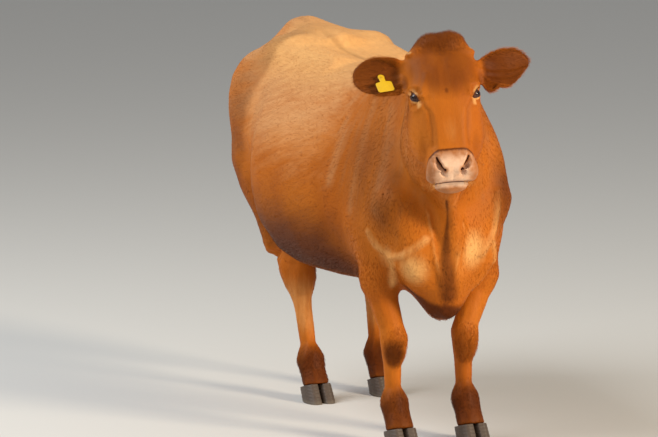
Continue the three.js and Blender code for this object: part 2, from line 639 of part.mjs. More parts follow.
// Tail and udder, which stand in sockets of the trunk and the hind legs.
const tailWhole = thin(solidOf(tail, [-10, 850, 640], [120, 1060, 1380], 90), 300);
const udderWhole = thin(solidOf(udder, [-40, 540, 460], [190, 840, 730], 60), 320);
const tailSocket = padded(tailWhole, 3 * GAP), udderSocket = padded(udderWhole, 3 * GAP);
const tasselPlane = plane([0, 0, 1], [0, 0, 700]);
addNode("udder", udderWhole, BARE_SKIN, 0.7);
addNode("tail", tailWhole.trimByPlane(...tasselPlane), COAT, 0.7);
addNode("tail_tassel", thin(solidOf(tassel, [20, 840, 440], [150, 990, 760], 60), 190)
  .trimByPlane(...flip(tasselPlane)), COAT, 0.8);

// Legs, each with two claws and two dewclaws, and the trunk without them.
let trunk = thin(solidOf(wholeCow, [-430, -720, 420], [430, 1080, 1440], 100), 1650)
  .trimByPlane(...flip(shoulderPlane));

function addLeg(name, low, high, keepOff, fetlock) {
  const foot = [fetlock[0], fetlock[1] - TOE_AHEAD];
  let leg = thin(solidOf(wholeCow, low.map((v) => v - 8), high.map((v) => v + 8), 80), 380);
  leg = leg.intersect(block(low, high));
  let socket = block(low.map((v) => v - GAP), high.map((v) => v + GAP));
  if (keepOff) {
    leg = leg.subtract(keepOff).subtract(udderSocket);
    socket = socket.subtract(keepOff);
  }
  leg = leg.trimByPlane(...coronet(...foot));
  for (const side of [-1, 1]) {
    leg = leg.subtract(dewclaw(fetlock, side, GAP));
    const place = side * fetlock[0] < 0 ? "inner" : "outer";
    addNode(`${name}_${place}_claw`, claw(...foot, side), HORN, 0.45);
    addNode(`${name}_${place}_dewclaw`, dewclaw(fetlock, side), HORN, 0.5);
  }
  addNode(name, largest(leg), COAT, 0.6);
  trunk = trunk.subtract(socket);
}

addLeg("foreleg_right", [-420, -620, 20], [-62, -225, 620], null, FORELEGS.right.fetlock);
addLeg("foreleg_left", [62, -620, 20], [420, -225, 620], null, FORELEGS.left.fetlock);
const belly = block([-500, 0, 480], [500, 392, 720]);
const [right, left] = [HINDLEGS.right.fetlock, HINDLEGS.left.fetlock];
addLeg("hindleg_right", [-420, 300, 20], [70 - GAP, 1050, 700], belly, right);
addLeg("hindleg_left", [70, 300, 20], [420, 1050, 700], belly, left);
addNode("trunk", largest(trunk.subtract(tailSocket).subtract(udderSocket)), COAT, 0.6);

// The origin is the middle of the cow's box, at the level of its soles.
cow.updateMatrixWorld(true);
const middle = new THREE.Box3().setFromObject(cow).getCenter(new THREE.Vector3());
cow.position.set(-middle.x, -middle.y, 0);

export default cow;
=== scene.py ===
"""A life-size standing beef cow with a short red coat, built over its fixed solids.

Metres, +Z up. The cow faces -Y and its left side is +X. Places on the cow are given from the ground
under its withers, and places on its head in the head's own frame: side (the cow's right), down
(from the poll to the muzzle) and out (towards the forehead), from the point between the eyes.
"""

import math

import bpy
import numpy as np
from bpy.props import FloatProperty, FloatVectorProperty, IntProperty, PointerProperty
from mathutils import Matrix, Vector
from mathutils.bvhtree import BVHTree


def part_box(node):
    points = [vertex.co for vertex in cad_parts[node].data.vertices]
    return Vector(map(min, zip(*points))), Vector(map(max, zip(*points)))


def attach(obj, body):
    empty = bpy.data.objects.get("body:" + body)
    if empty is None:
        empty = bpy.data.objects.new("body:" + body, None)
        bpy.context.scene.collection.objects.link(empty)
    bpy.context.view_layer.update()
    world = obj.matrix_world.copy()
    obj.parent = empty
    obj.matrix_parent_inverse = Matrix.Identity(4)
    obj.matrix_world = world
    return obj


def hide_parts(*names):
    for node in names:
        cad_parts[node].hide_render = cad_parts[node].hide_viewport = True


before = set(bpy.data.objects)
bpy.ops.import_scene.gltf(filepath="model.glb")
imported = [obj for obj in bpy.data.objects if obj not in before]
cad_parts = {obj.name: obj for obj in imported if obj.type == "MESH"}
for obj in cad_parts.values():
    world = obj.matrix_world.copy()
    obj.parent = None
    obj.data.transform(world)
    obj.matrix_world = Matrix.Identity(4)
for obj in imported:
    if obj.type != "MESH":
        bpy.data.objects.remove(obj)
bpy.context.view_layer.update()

bl_info = {
    "name": "Red Beef Cow",
    "version": (1, 0, 0),
    "blender": (4, 5, 0),
    "location": "3D View > Sidebar > Cow",
    "description": "Skin, coat, eyes, hooves and ear tag of a standing beef cow",
    "category": "Object",
}


def colour_setting(name, description, default):
    return FloatVectorProperty(name=name, description=description, subtype="COLOR", default=default)


def length_setting(name, description, default):
    return FloatProperty(name=name, description=description, default=default, unit="LENGTH")


# ---------------------------------------------------------------- places on the cow

HEAD_TURN = math.radians(19)  # to the cow's right
FACE_SLOPE = math.radians(63)  # the face drops this far below level
HEAD_ROLL = math.radians(3.3)  # the poll leans to the cow's right
EYE_DEPTH = 0.029  # the eyeballs' centres lie this far behind the head's origin
EYE_RADIUS = 0.021
BETWEEN_EYES = Vector((-0.235, -0.994, 1.323))

FLESH = ["head", "ear_right", "ear_left", "neck", "trunk", "udder", "tail"]
LEGS = ["foreleg_right", "foreleg_left", "hindleg_right", "hindleg_left"]
CLAWS = [f"{leg}_{place}_claw" for leg in LEGS for place in ("inner", "outer")]
DEWCLAWS = [f"{leg}_{place}_dewclaw" for leg in LEGS for place in ("inner", "outer")]


def middle_of(node):
    low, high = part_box(node)
    return (low + high) / 2


def head_axes():
    """The head's side, down and out directions as the rows of a matrix."""
    ahead = Vector((-math.sin(HEAD_TURN), -math.cos(HEAD_TURN), 0))
    down = ahead * math.cos(FACE_SLOPE) + Vector((0, 0, -math.sin(FACE_SLOPE)))
    side = Vector((-math.cos(HEAD_TURN), math.sin(HEAD_TURN), 0))
    out = side.cross(down)
    roll = Matrix.Rotation(HEAD_ROLL, 3, out)
    return Matrix((roll @ side, roll @ down, out))


AXES = head_axes()
SIDE, DOWN, OUT = AXES
HEAD = (middle_of("eye_right") + middle_of("eye_left")) / 2 + OUT * EYE_DEPTH
GROUND = HEAD - BETWEEN_EYES  # the ground under the withers, in the frame's coordinates


def on_head(side, down, out):
    """A place given in the head's frame."""
    return HEAD + SIDE * side + DOWN * down + OUT * out


EYES = {"right": on_head(0.097, 0, -EYE_DEPTH), "left": on_head(-0.097, 0, -EYE_DEPTH)}


def eye_frame(which):
    """Where an eye faces, along its lids from the outer to the inner corner, and across them."""
    sign = 1 if which == "right" else -1
    ahead = (SIDE * 0.74 * sign + OUT * 0.673).normalized()
    along = (SIDE * -0.45 * sign + DOWN * 0.75 + OUT * 0.495).normalized()
    return ahead, along, ahead.cross(along).normalized() * sign


LID_RISE = 0.0012  # the lids' edge lies this far over the eyeball
ALMOND = 0.92, 0.50  # half length and half height of the lids' opening, as shares of the eye's radius


def lid_gap(points):
    """How far each point lies outside the opening of the nearer eye's lids, along the eyeball."""
    gap = np.full(len(points), 0.2)
    for which, centre in EYES.items():
        ahead, along, across = (np.array(axis) for axis in eye_frame(which))
        ray = points - np.array(centre)
        reach = np.linalg.norm(ray, axis=1)
        a, b = ray @ along / reach, ray @ across / reach
        half = ALMOND[1] * np.clip(1 - (a / ALMOND[0]) ** 2, 0, 1) ** 0.675
        off = np.where(np.abs(a) < ALMOND[0], np.abs(b) - half, np.hypot(np.abs(a) - ALMOND[0], b))
        seen = (ray @ ahead > 0) & (reach < 0.045)
        gap = np.where(seen, off * EYE_RADIUS, gap)
    return gap


def in_head(points):
    return (points - np.array(HEAD)) @ np.array(AXES).T


def in_body(points):
    return points - np.array(GROUND)


# ---------------------------------------------------------------- soft masks


def rise(value, low, high):
    """0 below low, 1 above high, smooth between."""
    t = np.clip((value - low) / (high - low), 0, 1)
    return t * t * (3 - 2 * t)


def near(points, centre, radii, soft=0.5):
    """1 in the middle of an ellipsoid, fading to 0 at its edge over the outer soft share of it."""
    reach = np.linalg.norm((points - np.array(centre)) / np.array(radii), axis=1)
    return 1 - rise(reach, 1 - soft, 1)


def unit(rays):
    return rays / (np.linalg.norm(rays, axis=1)[:, None] + 1e-9)


def off_line(points, line):
    """The distance of each point to a line through a few places."""
    best = np.full(len(points), 9.0)
    for a, b in zip(np.array(line[:-1]), np.array(line[1:])):
        t = np.clip((points - a) @ (b - a) / ((b - a) @ (b - a)), 0, 1)
        best = np.minimum(best, np.linalg.norm(points - a - t[:, None] * (b - a), axis=1))
    return best


def stroke(points, line, inner, outer):
    """1 along a line, fading to 0 between two distances from it."""
    return 1 - rise(off_line(points, line), inner, outer)


# The places of each leg: the right one first, and for the fetlocks the forelegs first.
KNEES = [(-0.150, -0.390, 0.352), (0.125, -0.396, 0.350)]
HOCKS = [(-0.066, 0.616, 0.462), (0.222, 0.588, 0.468)]
GASKINS = [(-0.100, 0.680, 0.500), (0.245, 0.650, 0.500)]
FETLOCKS = [(-0.148, -0.394, 0.150), (0.120, -0.414, 0.150), (-0.068, 0.522, 0.150), (0.222, 0.560, 0.150)]
FREE_TAIL = [(0.048, 0.980, 1.190), (0.058, 0.976, 1.040), (0.072, 0.955, 0.860), (0.080, 0.918, 0.690)]
UDDER = (0.076, 0.690, 0.590)


def regions(points):
    """How much each point belongs to the head, ears, lower legs, tail and udder."""
    p, h = in_body(points), in_head(points)
    side, down, out = np.abs(h[:, 0]), h[:, 1], h[:, 2]
    nape = 0.35 * (down + 0.19) + 0.94 * (out + 0.158)
    boxed = (down < 0.36) & (down > -0.27) & (side < 0.36) & (out < 0.08) & (out > -0.3)
    head = rise(nape, -0.02, 0.02) * boxed
    ear = rise(side, 0.128, 0.140) * (down < 0.0) * (out > -0.16) * boxed
    leg = (1 - rise(p[:, 2], 0.52, 0.66)) * ((p[:, 1] > 0.36) | (p[:, 1] < -0.20))
    leg = leg * rise(np.abs(p[:, 0] - 0.02 * (p[:, 1] > 0)), 0.035, 0.06)
    tail = stroke(p, FREE_TAIL, 0.035, 0.05)
    udder = near(p, UDDER, (0.125, 0.155, 0.135), 0.15) * (p[:, 2] < 0.66)
    return {"head": np.maximum(head, ear), "ear": ear, "leg": leg, "tail": tail, "udder": udder}


def mirror(h):
    """Points in the head's frame with both halves laid on the right one."""
    return np.abs(h) * [1, 0, 0] + h * [0, 1, 1]


class Surface:
    """Points of the cow in the body's frame (p) and the head's (h, or m with both halves on one)."""

    def __init__(self, points, normals=None):
        self.points, self.normals = points, normals
        self.p, self.h, self.part = in_body(points), in_head(points), regions(points)
        self.m = mirror(self.h)
        self.head = self.part["head"]
        self.body = 1 - self.head

    def spots(self, table):
        """What each soft spot of a table gives: whose frame it is in, middle, radii, soft share, height."""
        frames = {
            "body": (self.p, self.body), "head": (self.h, self.head), "halves": (self.m, self.head),
            "crown": (self.h, 1.0),  # runs on over the nape
        }
        for frame_of, middle, radii, soft, height in table:
            points, share = frames[frame_of]
            yield height * near(points, middle, radii, soft) * share

    def spotted(self, table):
        """The most that the spots of a table give."""
        return np.maximum.reduce(list(self.spots(table)))


def moved(place, step):
    """A place shifted by a step."""
    return tuple(np.array(place) + step)


def lie(points, normals):
    """The direction in which the hair lies at each point."""
    p, h, part = in_body(points), in_head(points), regions(points)
    along = np.tile([0.0, 1.0, -0.30], (len(p), 1))
    low = 1 - rise(p[:, 2], 0.55, 0.95)
    along += low[:, None] * [0, -0.45, -0.75] * (np.abs(p[:, 1:2] - 0.1) > 0.35)
    fore = (1 - rise(p[:, 1], -0.5, -0.2)) * (1 - part["head"])
    along += fore[:, None] * [0.0, -0.35, -0.75]
    leg = np.maximum(part["leg"], part["tail"])[:, None]
    along = along * (1 - leg) + leg * [0, 0.12, -1]
    whorl = rise(h[:, 1], -0.045, 0.01) * 2 - 1
    face = np.outer(whorl, DOWN) + np.outer(h[:, 0] * 2.2, SIDE) - 0.25 * np.array(OUT)
    on_ear = np.outer(np.sign(h[:, 0]), SIDE) + 0.2 * np.array(DOWN)
    face = face * (1 - part["ear"][:, None]) + part["ear"][:, None] * on_ear
    along = along * (1 - part["head"][:, None]) + part["head"][:, None] * face
    return unit(along - np.sum(along * normals, axis=1)[:, None] * normals)


# ---------------------------------------------------------------- markings

CHEEK_LINE = [(0.087, 0.026), (0.066, 0.062), (0.060, 0.130), (0.062, 0.180)]  # side and down
NOSTRIL = [(0.030, 0.270, -0.021), (0.042, 0.257, -0.016), (0.052, 0.240, -0.012), (0.055, 0.226, -0.011)]
INTO_NOSTRIL = np.array([-0.30, -0.50, -0.81])
MOUTH_LEVEL = 0.2965  # of the sheet down * 0.94 - out * 0.30 along which the lips meet
STREAKS = [  # streaks of painted sheen down the side of the neck and shoulder, raised a little as ridges
    [(-0.196, -0.159, 1.239), (-0.257, -0.207, 1.105), (-0.302, -0.177, 0.925)],
    [(-0.189, -0.313, 1.220), (-0.240, -0.316, 1.046), (-0.274, -0.289, 0.831)],
    [(-0.173, -0.423, 1.197), (-0.214, -0.454, 1.026), (-0.261, -0.474, 0.855)],
]
# Along the back, down the edge of the dewlap and under the brisket; painted shade runs along each.
SPINE = [(0.017, 0.814, 1.393), (0.002, 0.614, 1.377), (-0.010, 0.496, 1.360), (-0.001, 0.408, 1.331),
         (-0.002, 0.218, 1.307), (0.0, -0.100, 1.322), (-0.010, -0.350, 1.345)]
DEWLAP = [(-0.098, -0.715, 0.913), (-0.050, -0.615, 0.791), (-0.041, -0.588, 0.680), (-0.021, -0.572, 0.552)]
KEEL = [(-0.134, -0.450, 0.538), (-0.067, -0.490, 0.490), (-0.016, -0.537, 0.479), (0.050, -0.480, 0.500)]
CHEST_FOLDS = [  # ridges of loose skin over the chest and in front of the forelegs, with painted highlight along them
    [(-0.255, -0.415, 0.770), (-0.238, -0.431, 0.724), (-0.203, -0.460, 0.681), (-0.165, -0.420, 0.580)],
    [(-0.203, -0.465, 0.681), (-0.181, -0.535, 0.696), (-0.113, -0.578, 0.754)],
    [(0.175, -0.540, 0.900), (0.171, -0.560, 0.837), (0.163, -0.560, 0.773), (0.105, -0.576, 0.690)],
    [(0.150, -0.566, 0.735), (0.175, -0.530, 0.660)],
]
THROAT_FOLDS = [  # the edges of the dewlap, which run together below, with painted highlight along them
    [(-0.150, -0.640, 0.960), (-0.132, -0.575, 0.904), (-0.102, -0.575, 0.841), (-0.082, -0.585, 0.706),
     (-0.051, -0.575, 0.593)],
    [(0.085, -0.620, 0.960), (0.065, -0.580, 0.894), (0.020, -0.605, 0.803), (0.002, -0.605, 0.694),
     (-0.012, -0.580, 0.582)],
]


def off_face_line(m, line):
    """The distance to a line on the face, given by its side and down as seen from in front."""
    return off_line(m * [1, 1, 0], [(side, down, 0) for side, down in line])


def nostril_gap(h):
    """The distance outside the comma of a nostril, wide at its low inner end, seen along its bore."""
    def flatten(points):
        points = np.array(points, float)
        return points - np.outer(points @ INTO_NOSTRIL, INTO_NOSTRIL) / (INTO_NOSTRIL @ INTO_NOSTRIL)

    flat, line = flatten(mirror(h)), flatten(NOSTRIL)
    wide = np.linalg.norm(flat - line[0] - [0.001, -0.003, 0.0], axis=1) - 0.0068
    gap = np.minimum(off_line(flat, line) - 0.0042, wide)
    return np.where((h[:, 1] > 0.2) & (h[:, 2] > -0.09), gap, 0.1)


def mouth_gap(h):
    """The distance above (+) or below (-) the line between the lips, large away from it."""
    side = np.abs(h[:, 0])
    level = h[:, 1] * 0.94 - h[:, 2] * 0.30 - MOUTH_LEVEL - 0.004 * (side / 0.06) ** 2
    return np.where((side < 0.078) & (h[:, 1] > 0.24), -level, 0.1)


def bare_muzzle(h):
    """1 on the hairless end of the nose and the lips."""
    side, down, out = np.abs(h[:, 0]), h[:, 1], h[:, 2]
    edge = 0.204 + 0.55 * np.clip(side - 0.050, 0, 1) - 0.50 * np.clip(out + 0.045, -1, 0)
    edge = edge + 0.9 * np.clip(-out - 0.115, 0, 1)
    return rise(down - edge, -0.010, 0.009)


def ear_reach(h):
    """0 in the middle of an ear, 1 on its edge."""
    side = np.abs(h[:, 0])
    high = 0.052 + 0.18 * np.clip(side - 0.13, 0, 0.12)
    return np.hypot((side - 0.220) / 0.108, (h[:, 1] + 0.098) / high)


# Spots of dark hair, and on the right shoulder painted shadow of the head and neck. The last number is how
# dark.
DARK_SPOTS = [
    ("body", (-0.26, -0.44, 1.00), (0.20, 0.36, 0.44), 0.8, 0.52),  # the right shoulder, painted shadow of the head and neck
    # lower on the right shoulder, painted shadow of the head and neck
    ("body", (-0.245, -0.48, 0.86), (0.17, 0.18, 0.20), 1.0, 0.62),
    ("body", (0.22, -0.54, 0.92), (0.15, 0.24, 0.32), 1.0, 0.74),  # the left shoulder
    ("body", (-0.26, -0.13, 0.78), (0.10, 0.10, 0.22), 0.8, 0.55),  # behind the right elbow
    ("crown", (0, -0.21, -0.06), (0.165, 0.095, 0.15), 0.6, 0.66),
    ("head", (0, -0.105, -0.01), (0.19, 0.185, 0.16), 0.6, 0.60),  # the forehead
    ("head", (0, -0.005, 0.02), (0.016, 0.026, 0.03), 0.9, 0.75),  # its whorl
    ("halves", (0.128, -0.060, -0.06), (0.030, 0.07, 0.08), 0.9, 0.60),  # in front of the ears
    ("halves", (0.082, 0.125, -0.060), (0.040, 0.13, 0.06), 0.8, 0.45),  # the cheeks
]
DARK_SPOTS += [
    ("body", moved(knee, [-0.018, -0.038, -0.024]), (0.062, 0.060, 0.085), 0.7, darkness)
    for knee, darkness in zip(KNEES, (0.80, 0.30))
]
DARK_SPOTS += [
    ("body", moved(fetlock, [0, -0.01, -0.055]), (0.10, 0.13, 0.15), 0.5, 0.85) for fetlock in FETLOCKS
]
DARK_SPOTS += [("body", hock, (0.10, 0.12, 0.12), 0.9, 0.35) for hock in HOCKS]

# Spots of pale hair, and painted light on the bridge of the nose and over the chest. The last number is how
# pale.
PALE_SPOTS = [
    ("halves", (0.098, 0.036, -0.006), (0.026, 0.016, 0.024), 1.0, 0.78),  # below the eyes
    ("halves", (0.118, -0.022, -0.020), (0.022, 0.008, 0.030), 0.8, 0.55),  # above the eyes
    ("halves", (0.0, 0.13, 0.0), (0.045, 0.10, 0.05), 0.9, 0.30),  # the bridge of the nose, painted light
    ("body", (0, -0.58, 0.68), (0.22, 0.17, 0.22), 1.0, 0.30),  # the chest, painted light
    ("body", (-0.190, -0.450, 0.69), (0.075, 0.075, 0.110), 1.0, 0.72),
    ("body", (-0.140, -0.540, 0.65), (0.100, 0.090, 0.110), 1.0, 0.84),
    ("body", (0.070, -0.580, 0.71), (0.095, 0.080, 0.130), 1.0, 0.84),
]
SCURS = [(0.106, -0.166, -0.036), (-0.109, -0.172, -0.038)]  # the bare buds of horn beside the crown


def dark_hair_and_painted_shade(on):
    """Dark hair on the hams, lower legs and crown; painted shade under the belly, over the shoulders, along
    the dewlap, under the brisket, along the spine, in the ears' bowls and in the cheeks' creases.
    """
    x, y, z = on.p.T
    # painted shade under the belly and low on the flanks
    belly = 0.90 * (1 - rise(z, 0.60, 1.00)) * rise(y, -0.40, -0.05) * (1 - 0.45 * rise(y, 0.45, 0.75))
    belly = belly * rise(z, 0.50, 0.60)
    behind = y - 0.609 - (1.118 - z) * 0.43  # of the slanting front edge of the hams
    soft = 0.16 * rise(x, -0.15, 0.15)
    ham = rise(behind, -0.015 - soft, 0.05 + soft) * (1 - 0.7 * rise(behind, 0.10, 0.34)) * (1 - 2.6 * soft)
    # painted shade over the shoulders and the base of the neck
    fore = rise(-y, 0.02, 0.36) * (1 - rise(-y, 0.56, 0.72)) * rise(z, 0.66, 0.92)
    wide = 0.008 + 0.048 * (1 - rise(z, 0.54, 0.86))
    # painted shade in the bowls of the ears, lighter towards their rims, and along the creases of the cheeks
    bowl = rise(on.m[:, 0], 0.122, 0.160) * on.part["ear"] * rise(on.normals @ np.array(OUT), -0.1, 0.4)
    cheek_crease_shade = 1 - rise(off_face_line(on.m, CHEEK_LINE), 0.0, 0.016)
    return np.maximum.reduce([
        belly * on.body,
        0.42 * ham * rise(z, 0.5, 0.8) * on.body,
        0.34 * fore * on.body,
        # painted shade along the dewlap, under the brisket and in the groove of the spine
        0.70 * stroke(on.p, DEWLAP, 0.2 * wide, 1.2 * wide) * on.body,
        0.95 * stroke(on.p, KEEL, 0.020, 0.062) * on.body,
        0.30 * stroke(on.p, SPINE, 0.006, 0.022) * on.body * (1 - on.part["leg"]),
        0.20 * on.head,
        (0.74 - 0.30 * rise(ear_reach(on.h), 0.80, 1.05)) * bowl,
        0.34 * cheek_crease_shade * on.head * (on.m[:, 2] > -0.08),
        on.spotted(DARK_SPOTS),
    ])


def pale_hair_and_painted_light(on):
    """Pale hair round the eyes, on the hind shanks and the scurs; painted light on the back, and painted
    highlight along the folds of the chest and throat.
    """
    _, y, z = on.p.T
    above = np.abs(on.m[:, 1] - 0.006)  # or below the middle of the eye
    rings = (1 - rise(lid_gap(on.points), 0.0035, 0.0085)) * (0.35 + 0.45 * rise(above, 0.004, 0.014))
    # painted light on the top of the back
    back = rise(z, 1.08, 1.34) * rise(y, -0.40, 0.10) * (1 - 0.6 * rise(y, 0.55, 0.90))
    shanks = rise(z, 0.18, 0.30) * (1 - rise(z, 0.38, 0.52)) * on.part["leg"] * (y > 0)
    scurs = sum(near(on.h, scur, (0.012, 0.007, 0.03)) for scur in SCURS)
    # painted highlight along the ridges of the chest and throat folds
    folds = [0.62 * stroke(on.p, fold, 0.0, 0.036) for fold in CHEST_FOLDS]
    folds += [0.42 * stroke(on.p, fold, 0.0, 0.018) * rise(z, 0.58, 0.66) for fold in THROAT_FOLDS]
    return np.maximum.reduce([
        rings * on.head, 0.68 * back * on.body, 0.42 * shanks, 0.9 * scurs * on.head,
        on.spotted(PALE_SPOTS), *folds,
    ])


def sheen(on):
    """Painted sheen: the hazy reflection of hair seen flat, painted into the colour on the upper parts and
    down the streaks.
    """
    _, y, z = on.p.T
    flank = 0.75 * rise(z, 0.82, 1.15) * rise(y, -0.36, 0.06) * (1 - 0.6 * rise(y, 0.50, 0.90))
    top = 0.9 * rise(on.normals[:, 2], 0.25, 0.98) * rise(z, 1.0, 1.2)
    streaks = [0.42 * stroke(on.p, streak, 0.0, 0.055) for streak in STREAKS]
    return np.maximum.reduce([flank, top, 0.22 * rise(z, 0.75, 1.0), *streaks]) * on.body


def muzzle_edge_and_painted_shade(on):
    """Where the bare muzzle is brown instead of pink: along its top edge, and as painted shade on its sides,
    round the nostrils and below the lips.
    """
    return np.maximum.reduce([
        rise(on.m[:, 0], 0.034, 0.080), 1 - rise(on.h[:, 1], 0.204, 0.246),
        0.8 * (1 - rise(nostril_gap(on.h), 0.0, 0.012)), rise(-mouth_gap(on.h), 0.008, 0.024),
    ])


def hair_grain(on):
    """Coordinates for the hair's pattern, drawn out along the first of them."""
    x, y, z = on.p.T
    leg = on.part["leg"][:, None]
    grain = np.stack([y * 0.94 - z * 0.33, y * 0.33 + z * 0.94, x], axis=1)
    fore = rise(-y, 0.15, 0.45)[:, None] * (1 - leg)
    grain = grain * (1 - fore) + fore * np.stack([z * 0.94 - y * 0.3, y * 0.94 + z * 0.3, x], axis=1)
    grain = grain * (1 - leg) + leg * on.p[:, [2, 0, 1]]
    grain = grain * on.body[:, None] + on.head[:, None] * on.h[:, [1, 0, 2]]
    return grain * [0.08, 1, 1]


def markings(points, normals):
    """The coat's dark and pale parts with their painted shade and light, its painted sheen, its bare parts,
    the painted shade in the holes of the face and the grain of the hair.
    """
    on = Surface(points, normals)
    muzzle = bare_muzzle(on.h)
    share = rise(muzzle, 0.0, 0.25) * on.head
    # painted shade in the bores of the nostrils and in the line between the lips
    hole = 1 - rise(nostril_gap(on.h), -0.003, 0.0015)
    lips = 1 - rise(np.abs(mouth_gap(on.h) + 0.0005), 0.0008, 0.0030)
    return {
        # dark hair with painted shade, pale hair with painted light, then the painted sheen
        "dark": dark_hair_and_painted_shade(on) * (1 - share) + share * muzzle_edge_and_painted_shade(on),
        "pale": pale_hair_and_painted_light(on),
        "painted_sheen_mask": sheen(on),
        "bare": np.maximum(muzzle * on.head, on.part["udder"]),
        # painted shade in the nostrils and between the lips
        "inside": np.maximum(hole, lips * 0.85) * on.head,
        "grain": hair_grain(on),
    }


def write_markings(piece, values):
    """Markings as attributes of a piece's points."""
    for name, value in values.items():
        vector = value.ndim == 2
        layer = piece.data.attributes.new(name, "FLOAT_VECTOR" if vector else "FLOAT", "POINT")
        layer.data.foreach_set("vector" if vector else "value", value.astype(np.float32).ravel())


# ---------------------------------------------------------------- mesh helpers


def points_of(piece):
    co = np.empty(len(piece.data.vertices) * 3, np.float32)
    piece.data.vertices.foreach_get("co", co)
    return co.reshape(-1, 3).astype(float)


def normals_of(piece):
    no = np.empty(len(piece.data.vertices) * 3, np.float32)
    piece.data.vertices.foreach_get("normal", no)
    return no.reshape(-1, 3).astype(float)


def move_points(piece, points):
    piece.data.vertices.foreach_set("co", points.astype(np.float32).ravel())
    piece.data.update()


def pick(*pieces):
    """Selects these pieces and no others, the first one active."""
    bpy.ops.object.select_all(action="DESELECT")
    for piece in pieces:
        piece.select_set(True)
    bpy.context.view_layer.objects.active = pieces[0]


def finish_with(piece, kind, **settings):
    """Adds a modifier to a piece and applies it."""
    pick(piece)
    modifier = piece.modifiers.new(kind.title(), kind)
    for name, value in settings.items():
        setattr(modifier, name, value)
    bpy.ops.object.modifier_apply(modifier=modifier.name)


def edit_whole(piece, operator, **settings):
    """Runs an edit mode operator on all of a piece."""
    pick(piece)
    bpy.ops.object.mode_set(mode="EDIT")
    bpy.ops.mesh.select_all(action="SELECT")
    operator(**settings)
    bpy.ops.object.mode_set(mode="OBJECT")


def weigh(piece, name, weights, steps=20):
    """A vertex group with these weights."""
    group = piece.vertex_groups.new(name=name)
    level = np.round(weights * steps).astype(int)
    for step in range(1, steps + 1):
        members = np.nonzero(level == step)[0].tolist()
        if members:
            group.add(members, step / steps, "REPLACE")


def copy_of(name, nodes):
    """Copies of solids, joined into one mesh with shared points."""
    copies = []
    for node in nodes:
        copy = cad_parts[node].copy()
        copy.data = copy.data.copy()
        copy.parent = None
        for key in list(copy.keys()):
            del copy[key]
        bpy.context.scene.collection.objects.link(copy)
        copy.hide_render = False
        copies.append(copy)
    pick(*copies)
    bpy.ops.object.join()
    piece = bpy.context.object
    piece.name = piece.data.name = name
    piece.data.materials.clear()
    edit_whole(piece, bpy.ops.mesh.remove_doubles, threshold=1e-5)
    return piece


def mesh_piece(name, points, faces, repeats):
    """A mesh of the same few faces over and over, each time on the next set of points."""
    mesh = bpy.data.meshes.new(name)
    corners = np.concatenate(faces)
    per = len(points) // repeats
    mesh.vertices.add(len(points))
    mesh.vertices.foreach_set("co", points.astype(np.float32).ravel())
    mesh.loops.add(len(corners) * repeats)
    mesh.loops.foreach_set("vertex_index", (corners + per * np.arange(repeats)[:, None]).ravel())
    starts = np.cumsum([0] + [len(face) for face in faces[:-1]])
    mesh.polygons.add(len(faces) * repeats)
    mesh.polygons.foreach_set("loop_start", (starts + len(corners) * np.arange(repeats)[:, None]).ravel())
    mesh.update(calc_edges=True)
    mesh.shade_smooth()
    piece = bpy.data.objects.new(name, mesh)
    bpy.context.scene.collection.objects.link(piece)
    return piece


PATCH_WIDTH = 0.003  # of a hair's place on its texture


def spikes(name, lines, side, up, widths, patch, marks):
    """Closed three-sided hairs along lines of points that end in their tips."""
    count, rings = lines.shape[0], lines.shape[1] - 1
    ring = np.stack([-side, side, up * 1.2], axis=1)
    points = lines[:, :rings, None] + ring[:, None] * (widths[:, :, None, None] / 2)
    points = np.concatenate([points.reshape(count, 3 * rings, 3), lines[:, rings:]], axis=1)
    faces = [[2, 1, 0]]
    for j in range(0, 3 * rings - 3, 3):
        faces += [[j + i, j + (i + 1) % 3, j + 3 + (i + 1) % 3, j + 3 + i] for i in range(3)]
    last = 3 * rings - 3
    faces += [[last + i, last + (i + 1) % 3, last + 3] for i in range(3)]
    piece = mesh_piece(name, points.reshape(-1, 3), faces, count)
    column, tip = PATCH_WIDTH / 3, PATCH_WIDTH / 2
    spread = [[(i - 1) * column, tip * (2 * j / rings - 1)] for j in range(rings) for i in range(3)]
    spread = np.array(spread + [[0, tip]])[np.concatenate(faces)]
    layer = piece.data.uv_layers.new(name="OFBake")
    layer.data.foreach_set("uv", (patch[:, None] + spread[None]).astype(np.float32).ravel())
    write_markings(piece, {key: np.repeat(value, points.shape[1], axis=0) for key, value in marks.items()})
    return piece


def triangles_of(piece):
    mesh = piece.data
    mesh.calc_loop_triangles()
    corners = np.empty(len(mesh.loop_triangles) * 3, np.int32)
    mesh.loop_triangles.foreach_get("vertices", corners)
    return corners.reshape(-1, 3)


def settle(piece, material, slot, *nodes):
    """Gives a finished piece its material and its place in the frame."""
    piece.data.materials.clear()
    piece.data.materials.append(material)
    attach(piece, "root")
    if nodes:
        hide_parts(*nodes)


# ---------------------------------------------------------------- shader expressions


class Wire:
    """An output socket of a finish. Arithmetic on it adds Math nodes."""

    def __init__(self, finish, socket):
        self.finish, self.socket = finish, socket

    def math(self, operation, *inputs):
        return self.finish.node("ShaderNodeMath", {"operation": operation}, dict(enumerate(inputs)))

    def __add__(self, other):
        return self.math("ADD", self, other)

    def __sub__(self, other):
        return self.math("SUBTRACT", self, other)

    def __rsub__(self, other):
        return self.math("SUBTRACT", other, self)

    def __mul__(self, other):
        return self.math("MULTIPLY", self, other)

    __radd__, __rmul__ = __add__, __mul__

    def rise(self, low, high):
        """0 below low, 1 above high, smooth between."""
        return self.finish.node(
            "ShaderNodeMapRange", {"interpolation_type": "SMOOTHSTEP"}, {"Value": self, 1: low, 2: high}
        )


